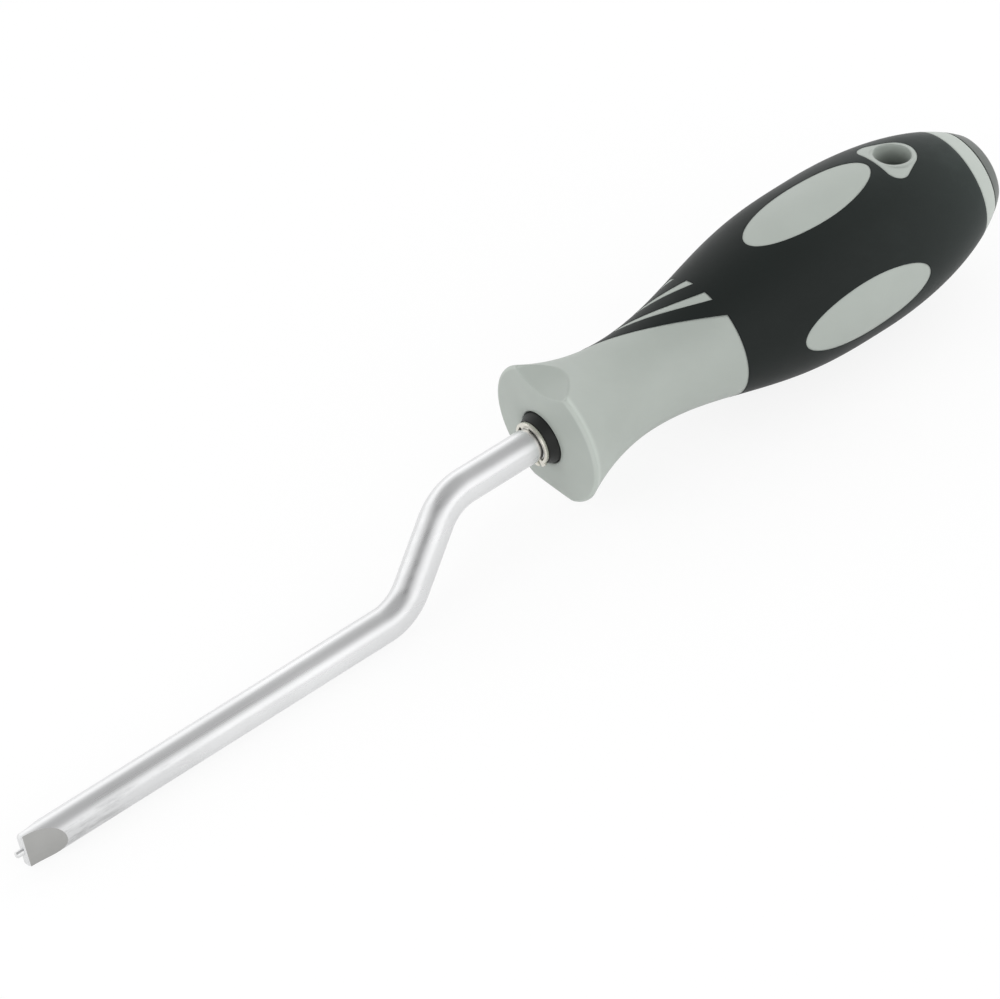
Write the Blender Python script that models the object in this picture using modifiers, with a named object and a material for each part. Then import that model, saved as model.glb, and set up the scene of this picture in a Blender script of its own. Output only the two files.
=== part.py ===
"""Cranked spoke nipple driver: a bent rod spins on two ball bearings in a two-material handle.

Metres, +Z up. The tool lies along X with its working tip towards -X and its butt towards +X,
resting on the belly of the handle and on the cranked end of the rod. Lengths along the tool
are counted from the mouth of the handle, positive towards the butt.
"""
import math

import bmesh
import bpy
from mathutils import Matrix, Vector

MM = 0.001

# Handle outline
HANDLE_LENGTH = 109.0 * MM
GUARD_RADIUS = 14.5 * MM
RIM_AT = 1.7 * MM
RIM_ROUND = 0.6 * MM
WAIST_RADIUS = 9.7 * MM
WAIST_AT = 20.9 * MM
BELLY_RADIUS = 17.0 * MM
BELLY_SHARE = 0.678
BUTT_RADIUS = 7.3 * MM
SWELL_SHARPNESS = 3.7

# Cuts in the guard: a hollow thumb scallop above and a nearly flat one below
SCALLOP_RADIUS = 16.7 * MM
SCALLOP_FLOOR = 10.6 * MM
SCALLOP_TILT = math.radians(14.0)
FLAT_RADIUS = 60.0 * MM
FLAT_FLOOR = 12.75 * MM

# Soft grip over the hard core
GRIP_WALL = 1.6 * MM
GRIP_FRONT = 40.2 * MM
GRIP_SEAM = 0.15 * MM
PANEL_SETBACK = 11.95 * MM
PANEL_GAP = 1.5 * MM
PANEL_WIDTH = 12.2 * MM

# Swept fingers of the grip on the neck: how far each reaches forward, and how far across
FINGER_NEAR = -7.86 * MM
FINGER_BEND = (14.1 * MM, 0.0)
FINGER_TIP = (23.5 * MM, 7.3 * MM)
FINGER_FAR = 10.9 * MM
FINGER_TIP_WIDTH = 0.9 * MM
STRIPE_SETBACK = 0.4 * MM
STRIPE_TIP_SHARE = 0.5
STRIPES = (
    (2.0 * MM, -3.17 * MM, (6.8 * MM, 0.1 * MM), (15.6 * MM, 6.4 * MM)),
    (1.8 * MM, 2.25 * MM, (4.6 * MM, 4.7 * MM), (10.0 * MM, 8.0 * MM)),
    (1.4 * MM, 7.7 * MM, (1.5 * MM, 8.6 * MM), (3.0 * MM, 9.5 * MM)),
)

# Hang hole and the hard pad round it
HANG_HOLE_INSET = 12.3 * MM
HANG_HOLE_RADIUS = 3.7 * MM
PAD_RING = 1.05 * MM
PAD_HALF_WIDTH = 6.4 * MM
PAD_CORNER = 2.4 * MM

# Hard ring behind the grip, and the butt cap with a spigot in the core
BUTT_RING = 4.1 * MM
CAP_HEIGHT = 3.5 * MM
CAP_ROUND = 0.8 * MM
SPIGOT_RADIUS = 4.6 * MM
SPIGOT_LENGTH = 7.0 * MM
SPIGOT_CHAMFER = 0.5 * MM

# Cranked rod, blade and pilot pin
ROD_RADIUS = 3.45 * MM
ROD_REACH = 127.5 * MM
ROD_STUB = 2.95 * MM
CRANK_AT = 23.3 * MM
CRANK_OFFSET = 15.0 * MM
BEND_ANGLE = math.radians(41.0)
BEND_RADIUS = 13.0 * MM
BEND_STEPS = 7
BLADE_THICKNESS = 1.44 * MM
BLADE_FLAT = 2.8 * MM
BLADE_TURN = math.radians(16.0)
GRIND_RADIUS = 9.8 * MM
GRIND_STEPS = 4
BLADE_CHAMFER = 0.45 * MM
PIN_RADIUS = 0.65 * MM
PIN_LENGTH = 1.9 * MM
PIN_ROOT = 1.0 * MM
PIN_CHAMFER = 0.2 * MM

# Ball bearings
BEARING_OUTER = 5.5 * MM
BEARING_WIDTH = 3.0 * MM
BEARING_AT = 1.2 * MM
BEARING_SPACING = 31.0 * MM
BALL_RADIUS = 0.6 * MM
BALL_COUNT = 8
INNER_LAND = 4.05 * MM
OUTER_LAND = 4.95 * MM
GROOVE_ARC = math.radians(50.0)
SEAL_THICKNESS = 0.3 * MM
SEAL_RECESS = 0.1 * MM
CAGE_THICKNESS = 0.5 * MM
CAGE_WIDTH = 1.9 * MM
SPACER_WALL = 0.5 * MM

# Dust collar and the two retaining rings on the rod
COLLAR_RADIUS = 5.35 * MM
COLLAR_NOSE_RADIUS = 4.55 * MM
COLLAR_PROUD = 1.7 * MM
COLLAR_HUB = 0.3 * MM
CLIP_THICKNESS = 0.8 * MM
CLIP_RADIUS = 4.6 * MM
CLIP_LUG_RADIUS = 4.85 * MM
CLIP_LUG_WIDTH = 1.3 * MM
CLIP_GAP = 1.0 * MM
CLIP_OFFSET = 0.2 * MM
CLIP_GROOVE = 0.2 * MM
CLIP_POCKET = 0.15 * MM
TAIL_ROOM = 3.0 * MM

# Clearances
FIT = 0.06 * MM
SEAT = 0.05 * MM
BALL_GAP = 0.04 * MM
POCKET_GAP = 0.08 * MM
PAST = 3.0 * MM

# Faceting
HANDLE_SIDES = 40
BEARING_SIDES = 24
ROD_BEVEL_STEPS = 8
OVAL_POINTS = 24
CURVE_POINTS = 5

# Derived places
BELLY_AT = BELLY_SHARE * HANDLE_LENGTH
CAP_AT = HANDLE_LENGTH - CAP_HEIGHT
GRIP_END = CAP_AT - BUTT_RING
HANG_HOLE_AT = GRIP_END - HANG_HOLE_INSET
PANEL_START = GRIP_FRONT + PANEL_SETBACK
PANEL_END = HANG_HOLE_AT - HANG_HOLE_RADIUS - PAD_RING - PANEL_GAP
PITCH_RADIUS = (INNER_LAND + OUTER_LAND) / 2
TAIL_REACH = (HANDLE_LENGTH - BELLY_AT) / math.sqrt(1 - (BUTT_RADIUS / BELLY_RADIUS) ** 2)
REAR_BEARING_AT = BEARING_AT + BEARING_SPACING
SHOULDER_AT = REAR_BEARING_AT + BEARING_WIDTH + SEAT
ROD_TAIL = SHOULDER_AT + CLIP_THICKNESS + ROD_STUB
CRANK_RUN = CRANK_OFFSET / math.tan(BEND_ANGLE)
CRANK_DROP = min(1.0, (BELLY_RADIUS - ROD_RADIUS) / CRANK_OFFSET)
CRANK_ROLL = math.acos(CRANK_DROP)
AXIS_HEIGHT = max(BELLY_RADIUS, CRANK_OFFSET * CRANK_DROP + ROD_RADIUS)
MOUTH_X = (ROD_REACH + PIN_LENGTH - HANDLE_LENGTH) / 2
CAGE_INNER = PITCH_RADIUS - CAGE_THICKNESS / 2
CLIP_FRONT_AT = -COLLAR_PROUD - SEAT - CLIP_THICKNESS

ALONG_X = (0.0, math.pi / 2, 0.0)
TOP, BOTTOM = 0.0, math.pi
SIDES = (math.pi / 2, -math.pi / 2)


def handle_radius(x):
    """Outer radius of the handle at a distance behind its mouth."""
    if x < WAIST_AT:
        rise = (WAIST_AT - x) / (WAIST_AT - RIM_AT)
        return WAIST_RADIUS + (GUARD_RADIUS - WAIST_RADIUS) * rise ** 2
    if x < BELLY_AT:
        rise = (x - WAIST_AT) / (BELLY_AT - WAIST_AT)
        swell = 1 - (1 - rise ** 2) ** SWELL_SHARPNESS
        return WAIST_RADIUS + (BELLY_RADIUS - WAIST_RADIUS) * swell
    return BELLY_RADIUS * math.sqrt(1 - ((x - BELLY_AT) / TAIL_REACH) ** 2)


def stations(start, end, count):
    """Evenly spaced places along the tool, both ends included."""
    return [start + (end - start) * i / (count - 1) for i in range(count)]


def arc(centre, radius, start, end, count):
    """Points on an arc, as (radius, place) pairs of a turned outline."""
    angles = stations(start, end, count)
    return [(centre[0] + radius * math.cos(a), centre[1] + radius * math.sin(a)) for a in angles]


def bend_curve(first, control, last, count):
    """Points on a quadratic curve in plan."""
    points = []
    for t in stations(0.0, 1.0, count):
        weights = ((1 - t) ** 2, 2 * t * (1 - t), t ** 2)
        points.append(tuple(sum(w * p[k] for w, p in zip(weights, (first, control, last))) for k in (0, 1)))
    return points


def collection(name):
    group = bpy.data.collections.new(name)
    bpy.context.scene.collection.children.link(group)
    return group


def finish(name, colour, roughness, metallic=0.0):
    """A Principled material."""
    material = bpy.data.materials.new(name)
    material.use_nodes = True
    shader = material.node_tree.nodes["Principled BSDF"]
    shader.inputs["Base Color"].default_value = (*colour, 1.0)
    shader.inputs["Roughness"].default_value = roughness
    shader.inputs["Metallic"].default_value = metallic
    return material


def axis_empty(name, x, roll=0.0):
    """An empty on the tool's axis that carries the pieces of one body."""
    empty = bpy.data.objects.new(name, None)
    empty.location = (MOUTH_X + x, 0.0, AXIS_HEIGHT)
    empty.rotation_euler = (roll, 0.0, 0.0)
    PARTS.objects.link(empty)
    return empty


def place(obj, parent, material=None):
    """Put an object among the parts, or among the cutters when it has no material."""
    obj.parent = parent
    if material is None:
        CUTTERS.objects.link(obj)
        obj.hide_render = True
        obj.display_type = "WIRE"
    else:
        PARTS.objects.link(obj)
        obj.data.materials.append(material)
        obj.data.shade_smooth()
        obj.data.set_sharp_from_angle(angle=math.radians(35.0))
    return obj


def turned(name, outline, sides, parent, material=None, ring=True):
    """A turned piece: (radius, place) points from butt to mouth on the outside, closed when a ring."""
    mesh = bpy.data.meshes.new(name)
    edges = [(i, i + 1) for i in range(len(outline) - 1)]
    if ring:
        edges.append((len(outline) - 1, 0))
    mesh.from_pydata([(r, 0.0, x) for r, x in outline], edges, [])
    obj = place(bpy.data.objects.new(name, mesh), parent, material)
    obj.rotation_euler = ALONG_X
    screw = obj.modifiers.new("turn", "SCREW")
    screw.axis = "Z"
    screw.steps = sides
    screw.render_steps = sides
    screw.use_merge_vertices = True
    screw.merge_threshold = 0.000001
    screw.use_smooth_shade = True
    return obj


def tube(name, inner, outer, start, end, sides, parent, material=None):
    """A plain turned tube between two places."""
    outline = [(outer, end), (outer, start), (inner, start), (inner, end)]
    return turned(name, outline, sides, parent, material)


def prism(name, outline, low, high, parent, roll=TOP):
    """A cutter: a plan outline drawn from one height to another, then rolled about the tool's axis.

    An outline rolled underneath keeps its sides: it is the mirror image of the one above.
    """
    across = -1.0 if roll == BOTTOM else 1.0
    curve = bpy.data.curves.new(name, "CURVE")
    curve.dimensions = "2D"
    curve.fill_mode = "BOTH"
    curve.extrude = (high - low) / 2
    spline = curve.splines.new("POLY")
    spline.points.add(len(outline) - 1)
    for point, (x, y) in zip(spline.points, outline):
        point.co = (x, y * across, 0.0, 1.0)
    spline.use_cyclic_u = True
    drawn = bpy.data.objects.new(name + "_outline", curve)
    bpy.context.scene.collection.objects.link(drawn)
    obj = place(bpy.data.objects.new(name, solid_mesh(drawn, name)), parent)
    obj.data.transform(Matrix.Translation((0.0, 0.0, (low + high) / 2)))
    obj.rotation_euler = (roll, 0.0, 0.0)
    return obj


def solid_mesh(curve_object, name):
    """The welded mesh of a curve object, which is then removed."""
    graph = bpy.context.evaluated_depsgraph_get()
    mesh = bpy.data.meshes.new_from_object(curve_object.evaluated_get(graph))
    mesh.name = name
    bpy.data.objects.remove(curve_object)
    body = bmesh.new()
    body.from_mesh(mesh)
    bmesh.ops.remove_doubles(body, verts=body.verts, dist=0.000001)
    bmesh.ops.recalc_face_normals(body, faces=body.faces)
    body.to_mesh(mesh)
    body.free()
    return mesh


def box(name, size, centre, parent):
    """A box cutter."""
    mesh = bpy.data.meshes.new(name)
    body = bmesh.new()
    bmesh.ops.create_cube(body, size=1.0)
    bmesh.ops.scale(body, vec=Vector(size), verts=body.verts)
    bmesh.ops.translate(body, vec=Vector(centre), verts=body.verts)
    body.to_mesh(mesh)
    body.free()
    return place(bpy.data.objects.new(name, mesh), parent)


def boolean(obj, tool, operation="DIFFERENCE"):
    """Cut an object with a tool, or join the tool to it."""
    modifier = obj.modifiers.new(tool.name, "BOOLEAN")
    modifier.operation = operation
    modifier.object = tool
    modifier.solver = "EXACT"


def oval(centre, length, width):
    """Outline of an ellipse along the tool, with no point on its long axis."""
    angles = [2 * math.pi * (i + 0.5) / OVAL_POINTS for i in range(OVAL_POINTS)]
    return [(centre + length / 2 * math.cos(a), width / 2 * math.sin(a)) for a in angles]


def hang_pad(inset):
    """Outline of the hang-hole pad: round behind the hole, with a straight edge and two corners ahead."""
    ring = HANG_HOLE_RADIUS + PAD_RING
    corner = (HANG_HOLE_AT - ring + PAD_CORNER, PAD_HALF_WIDTH - PAD_CORNER)
    half = arc((HANG_HOLE_AT, 0.0), ring - inset, math.radians(5.0), math.radians(60.0), CURVE_POINTS)
    half += arc(corner, PAD_CORNER - inset, math.radians(62.0), math.pi, CURVE_POINTS + 1)
    return half + [(x, -y) for x, y in reversed(half)]


def stripe(width, base_y, bend, tip, inset):
    """Outline of one tapering stripe between two fingers of the grip, cut off along the grip's front edge."""
    base_x = GRIP_FRONT - STRIPE_SETBACK
    spine = bend_curve((base_x, base_y), (base_x - bend[0], bend[1]), (base_x - tip[0], tip[1]), CURVE_POINTS)
    for end, inner in ((0, 1), (-1, -2)):
        pull = (Vector(spine[inner]) - Vector(spine[end])).normalized() * inset
        spine[end] = (spine[end][0] + pull.x, spine[end][1] + pull.y)
    near, far = [], []
    for i, (x, y) in enumerate(spine):
        share = i / (len(spine) - 1)
        half = width * (1 - share + STRIPE_TIP_SHARE * share) / 2 - inset
        ahead, behind = spine[min(i + 1, len(spine) - 1)], spine[max(i - 1, 0)]
        run = math.hypot(ahead[0] - behind[0], ahead[1] - behind[1])
        side = (-(ahead[1] - behind[1]) / run * half, (ahead[0] - behind[0]) / run * half)
        if i == 0:
            side = (0.0, half * run / (ahead[0] - behind[0]))
        near.append((x + side[0], y + side[1]))
        far.append((x - side[0], y - side[1]))
    return near + far[::-1]


def finger_notch(grow):
    """Outline of the bare neck ahead of the grip, notched by the swept fingers."""
    front = GRIP_FRONT - grow
    reach, across = FINGER_TIP
    tip = (GRIP_FRONT - reach - grow, across)
    bend = (GRIP_FRONT - FINGER_BEND[0] - grow, FINGER_BEND[1] - grow)
    near = bend_curve((front, FINGER_NEAR - grow), bend, tip, 2 * CURVE_POINTS)
    far = [(tip[0], across + FINGER_TIP_WIDTH + grow), (front, FINGER_FAR + grow)]
    wide = 2 * BELLY_RADIUS
    ahead = -PAST
    return near + far + [(front, wide), (ahead, wide), (ahead, -wide), (front, -wide)]


def grip_volume(name, grow, reach, parent, material=None):
    """The grip's own volume; grown by a seam and with a long reach it is the pocket in the core."""
    start = GRIP_FRONT - FINGER_TIP[0] - PAST
    places = stations(start, GRIP_FRONT, 5) + stations(GRIP_FRONT, GRIP_END + grow, 11)[1:]
    outer = [(handle_radius(x) + reach, x) for x in reversed(places)]
    inner = [(handle_radius(x) - GRIP_WALL - grow, x) for x in places]
    grip = turned(name, outer + inner, HANDLE_SIDES, parent, material)
    tall = 2 * BELLY_RADIUS
    for side, roll in (("top", TOP), ("bottom", BOTTOM)):
        boolean(grip, prism(f"{name}_neck_{side}", finger_notch(grow), -PAST / 6, tall, parent, roll))
        boolean(grip, prism(f"{name}_pad_{side}", hang_pad(grow), PAST, tall, parent, roll))
        for number, shape in enumerate(STRIPES, 1):
            outline = stripe(*shape, grow)
            boolean(grip, prism(f"{name}_stripe_{side}_{number}", outline, PAST, tall, parent, roll))
    middle, length = (PANEL_START + PANEL_END) / 2, PANEL_END - PANEL_START
    panel = oval(middle, length - 2 * grow, PANEL_WIDTH - 2 * grow)
    for number, roll in enumerate((TOP, BOTTOM, *SIDES), 1):
        boolean(grip, prism(f"{name}_panel_{number}", panel, PAST, tall, parent, roll))
    return grip


def core_outline():
    """Half section of the hard core: outside from butt to mouth, then the bore and the cap's socket."""
    outer = [(handle_radius(x), x) for x in stations(CAP_AT - SEAT, GRIP_END, 3)]
    outer += [(handle_radius(x), x) for x in stations(GRIP_END, GRIP_FRONT, 11)[1:]]
    outer += [(handle_radius(x), x) for x in stations(GRIP_FRONT, RIM_AT, 9)[1:]]
    rim = arc((GUARD_RADIUS - RIM_ROUND, RIM_AT), RIM_ROUND, 0.0, -math.pi / 2, CURVE_POINTS)[1:]
    bore = BEARING_OUTER + FIT
    relief = CLIP_LUG_RADIUS + CLIP_POCKET
    end = ROD_TAIL + TAIL_ROOM
    inside = [(bore, 0.0), (bore, SHOULDER_AT), (relief, SHOULDER_AT), (relief, end), (0.0, end)]
    return outer + rim + inside


def handle_core(parent, material):
    """Hard core: guard, neck and butt ring, pocketed so that its pads stand flush through the grip."""
    socket_floor = CAP_AT - SPIGOT_LENGTH - SEAT
    socket = SPIGOT_RADIUS + FIT
    closed = [(0.0, socket_floor), (socket, socket_floor), (socket, CAP_AT - SEAT)]
    core = turned("handle_core", closed + core_outline(), HANDLE_SIDES, parent, material, ring=False)
    boolean(core, grip_volume("grip_pocket", GRIP_SEAM, PAST, parent))
    boolean(core, guard_cut("thumb_scallop", SCALLOP_RADIUS, SCALLOP_FLOOR, SCALLOP_TILT, TOP, parent))
    boolean(core, guard_cut("guard_flat", FLAT_RADIUS, FLAT_FLOOR, 0.0, BOTTOM, parent))
    bore = oval(HANG_HOLE_AT, 2 * HANG_HOLE_RADIUS, 2 * HANG_HOLE_RADIUS)
    boolean(core, prism("hang_bore", bore, -2 * BELLY_RADIUS, 2 * BELLY_RADIUS, parent))
    return core


def guard_cut(name, radius, floor, tilt, roll, parent):
    """Round cutter across the guard's edge; a tilt cuts deeper at the mouth."""
    outline = [(0.0, WAIST_AT), (radius, WAIST_AT), (radius, -WAIST_AT), (0.0, -WAIST_AT)]
    cutter = turned(name, outline, 3 * HANDLE_SIDES, parent, ring=False)
    lift = Matrix.Translation((0.0, 0.0, floor + radius / math.cos(tilt)))
    lean = Matrix.Rotation(math.pi / 2 - tilt, 4, "Y")
    cutter.matrix_local = Matrix.Rotation(roll, 4, "X") @ lift @ lean
    return cutter


def butt_cap(parent, material):
    """Domed end cap on a spigot."""
    dome_end = HANDLE_LENGTH - CAP_ROUND / 2
    outline = [(0.0, HANDLE_LENGTH), (BUTT_RADIUS - CAP_ROUND, HANDLE_LENGTH)]
    outline += [(handle_radius(x), x) for x in stations(dome_end, CAP_AT, 4)]
    spigot_end = CAP_AT - SPIGOT_LENGTH
    outline += [(SPIGOT_RADIUS, CAP_AT), (SPIGOT_RADIUS, spigot_end + SPIGOT_CHAMFER)]
    outline += [(SPIGOT_RADIUS - SPIGOT_CHAMFER, spigot_end), (0.0, spigot_end)]
    return turned("butt_cap", outline, HANDLE_SIDES, parent, material, ring=False)


def rod_path():
    """Centre line of the cranked rod from its tail to its blade: (along, down) points and radius shares."""
    setback = BEND_RADIUS * math.tan(BEND_ANGLE / 2)
    points = [(ROD_TAIL, 0.0)]
    for step in range(BEND_STEPS + 1):
        angle = BEND_ANGLE * step / BEND_STEPS
        points.append((-CRANK_AT + setback - BEND_RADIUS * math.sin(angle),
                       BEND_RADIUS * (1 - math.cos(angle))))
    for step in range(BEND_STEPS + 1):
        angle = BEND_ANGLE * (1 - step / BEND_STEPS)
        points.append((-CRANK_AT - CRANK_RUN - setback + BEND_RADIUS * math.sin(angle),
                       CRANK_OFFSET - BEND_RADIUS * (1 - math.cos(angle))))
    points.append((-ROD_REACH + BLADE_CHAMFER, CRANK_OFFSET))
    points.append((-ROD_REACH, CRANK_OFFSET))
    shares = [1.0] * (len(points) - 1) + [(ROD_RADIUS - BLADE_CHAMFER) / ROD_RADIUS]
    return points, shares


def grind_outline():
    """Section of one grinding cut: (from the tip, from the rod's axis), flat at the tip and hollow behind."""
    places = stations(BLADE_FLAT, math.sqrt(2 * GRIND_RADIUS * ROD_RADIUS), GRIND_STEPS + 1)
    hollow = [(x, BLADE_THICKNESS / 2 + x ** 2 / (2 * GRIND_RADIUS)) for x in places]
    slope = BLADE_FLAT / (2 * GRIND_RADIUS)
    start = (-PAST, BLADE_THICKNESS / 2 - PAST * slope)
    deep = 2 * ROD_RADIUS
    return [start] + hollow + [(hollow[-1][0], deep), (-PAST, deep)]


def pilot_pin(parent):
    """The pin at the end of the blade, joined to the rod."""
    start, end = -ROD_REACH + PIN_ROOT, -ROD_REACH - PIN_LENGTH
    outline = [(0.0, start), (PIN_RADIUS, start), (PIN_RADIUS, end + PIN_CHAMFER),
               (PIN_RADIUS - PIN_CHAMFER, end), (0.0, end)]
    pin = turned("pin_shape", outline, BEARING_SIDES // 2, parent, ring=False)
    pin.location = (0.0, 0.0, -CRANK_OFFSET)
    return pin


def cranked_rod(parent, material):
    """Bent round bar with two ground blade faces, a pilot pin and two clip grooves."""
    curve = bpy.data.curves.new("rod_line", "CURVE")
    curve.dimensions = "3D"
    curve.bevel_depth = ROD_RADIUS
    curve.bevel_resolution = ROD_BEVEL_STEPS
    curve.use_fill_caps = True
    points, shares = rod_path()
    spline = curve.splines.new("POLY")
    spline.points.add(len(points) - 1)
    for point, (x, down), share in zip(spline.points, points, shares):
        point.co = (x, 0.0, -down, 1.0)
        point.radius = share
    drawn = bpy.data.objects.new("rod_line", curve)
    bpy.context.scene.collection.objects.link(drawn)
    rod = place(bpy.data.objects.new("crank_rod", solid_mesh(drawn, "crank_rod")), parent, material)
    deep = 2 * ROD_RADIUS
    for side in (1, -1):
        outline = [(-ROD_REACH + x, side * height) for x, height in grind_outline()]
        grind = prism(f"blade_grind_{side}", outline, -deep, deep, parent)
        grind.location = (0.0, 0.0, -CRANK_OFFSET)
        grind.rotation_euler = (BLADE_TURN, 0.0, 0.0)
        boolean(rod, grind)
    boolean(rod, pilot_pin(parent), "UNION")
    for name, start in (("front", CLIP_FRONT_AT), ("rear", SHOULDER_AT)):
        groove = tube(f"groove_{name}", ROD_RADIUS - CLIP_GROOVE, ROD_RADIUS + PAST,
                      start - SEAT, start + CLIP_THICKNESS + SEAT, BEARING_SIDES, parent)
        boolean(rod, groove)
    return rod


def retaining_ring(name, start, parent, material):
    """Open spring ring in a groove of the rod, thicker opposite its gap, with a lug at each end."""
    end = start + CLIP_THICKNESS
    inner = ROD_RADIUS - CLIP_GROOVE + SEAT
    ring = turned(name, [(CLIP_RADIUS - CLIP_OFFSET, end), (CLIP_RADIUS - CLIP_OFFSET, start),
                         (inner, start), (inner, end)], BEARING_SIDES, parent, material)
    middle = (start + end) / 2
    lug_end = math.sqrt(CLIP_LUG_RADIUS ** 2 - CLIP_LUG_WIDTH ** 2 / 4)
    span = lug_end - inner - CLIP_OFFSET
    for side in (1, -1):
        lug = box(f"{name}_lug_{side}", (CLIP_THICKNESS, CLIP_LUG_WIDTH, span),
                  (middle, 0.0, span / 2 - lug_end), parent)
        lug.rotation_euler = (side * math.asin((CLIP_GAP + CLIP_LUG_WIDTH) / 2 / CLIP_RADIUS), 0.0, 0.0)
        boolean(ring, lug, "UNION")
    gap = box(f"{name}_gap", (2 * CLIP_THICKNESS, CLIP_GAP, 2 * CLIP_LUG_RADIUS),
              (middle, 0.0, -CLIP_LUG_RADIUS), parent)
    boolean(ring, gap)
    return ring


def dust_collar(parent, material):
    """Tapered collar between the front ring and the front bearing; it covers the mouth and spins."""
    rear = BEARING_AT - SEAT
    hub = INNER_LAND + SEAT
    flange = rear - COLLAR_HUB
    outline = [(hub, rear), (hub, flange), (COLLAR_RADIUS, flange), (COLLAR_RADIUS, 0.0),
               (COLLAR_NOSE_RADIUS, -COLLAR_PROUD), (ROD_RADIUS + FIT, -COLLAR_PROUD), (ROD_RADIUS + FIT, rear)]
    return turned("dust_collar", outline, BEARING_SIDES, parent, material)


def groove(land, side):
    """Half section of a ball groove in a ring's land, butt end first; side is +1 outside the balls."""
    radius = BALL_RADIUS + BALL_GAP
    points = arc((0.0, 0.0), radius, GROOVE_ARC, -GROOVE_ARC, CURVE_POINTS)
    deepest = PITCH_RADIUS + side * radius
    reach = radius * (1 - math.cos(GROOVE_ARC))
    depth = side * (deepest - land)
    return [(land + side * max(0.0, depth - reach + (r - radius * math.cos(GROOVE_ARC))), x) for r, x in points]


def bearing(label, start, shaft_axis, fixed_axis, finishes):
    """One deep-groove ball bearing: two rings, two seals, a cage and its balls."""
    end = start + BEARING_WIDTH
    middle = (start + end) / 2
    shaft_fit = ROD_RADIUS + FIT
    inner = [(r, x + middle) for r, x in groove(INNER_LAND, -1)]
    outer = [(r, x + middle) for r, x in reversed(groove(OUTER_LAND, 1))]
    turned(f"{label}_inner_ring", [(INNER_LAND, end), *inner, (INNER_LAND, start), (shaft_fit, start),
                                   (shaft_fit, end)], BEARING_SIDES, shaft_axis, finishes["steel"])
    turned(f"{label}_outer_ring", [(BEARING_OUTER, end), (BEARING_OUTER, start), (OUTER_LAND, start), *outer,
                                   (OUTER_LAND, end)], BEARING_SIDES, fixed_axis, finishes["steel"])
    seal_outer = OUTER_LAND - FIT
    for side, seal_start in (("front", start + SEAL_RECESS), ("back", end - SEAL_RECESS - SEAL_THICKNESS)):
        tube(f"{label}_seal_{side}", INNER_LAND + FIT, seal_outer, seal_start, seal_start + SEAL_THICKNESS,
             BEARING_SIDES, fixed_axis, finishes["rubber"])
    cage_axis = axis_empty(f"{label}_cage_axis", middle)
    cage = tube(f"{label}_cage", CAGE_INNER, CAGE_INNER + CAGE_THICKNESS, -CAGE_WIDTH / 2, CAGE_WIDTH / 2,
                BEARING_SIDES, cage_axis, finishes["nylon"])
    for number in range(BALL_COUNT):
        turn = Matrix.Rotation(2 * math.pi * number / BALL_COUNT, 4, "X")
        ball = bpy.data.objects.new(f"{label}_ball_{number + 1}", ball_mesh(f"{label}_ball_{number + 1}"))
        place(ball, cage_axis, finishes["ball"]).matrix_local = turn @ Matrix.Translation((0.0, 0.0, PITCH_RADIUS))
        boolean(cage, ball_pocket(f"{label}_pocket_{number + 1}", turn, cage_axis))


def ball_mesh(name):
    """A small steel ball."""
    mesh = bpy.data.meshes.new(name)
    body = bmesh.new()
    bmesh.ops.create_uvsphere(body, u_segments=8, v_segments=6, radius=BALL_RADIUS)
    body.to_mesh(mesh)
    body.free()
    return mesh


def ball_pocket(name, turn, parent):
    """Cutter for one radial pocket of a cage."""
    mesh = bpy.data.meshes.new(name)
    body = bmesh.new()
    radius = BALL_RADIUS + POCKET_GAP
    bmesh.ops.create_cone(body, cap_ends=True, segments=12, radius1=radius, radius2=radius, depth=4 * CAGE_THICKNESS)
    body.to_mesh(mesh)
    body.free()
    pocket = place(bpy.data.objects.new(name, mesh), parent)
    pocket.matrix_local = turn @ Matrix.Translation((0.0, 0.0, PITCH_RADIUS))
    return pocket


def spacers(shaft_axis, fixed_axis, finishes):
    """Tubes that hold the two bearings apart, one between each pair of rings."""
    start, end = BEARING_AT + BEARING_WIDTH + SEAT, REAR_BEARING_AT - SEAT
    inner = ROD_RADIUS + FIT
    tube("inner_spacer", inner, inner + SPACER_WALL, start, end, BEARING_SIDES, shaft_axis, finishes["steel"])
    tube("outer_spacer", BEARING_OUTER - SPACER_WALL, BEARING_OUTER, start, end,
         BEARING_SIDES, fixed_axis, finishes["steel"])


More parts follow.
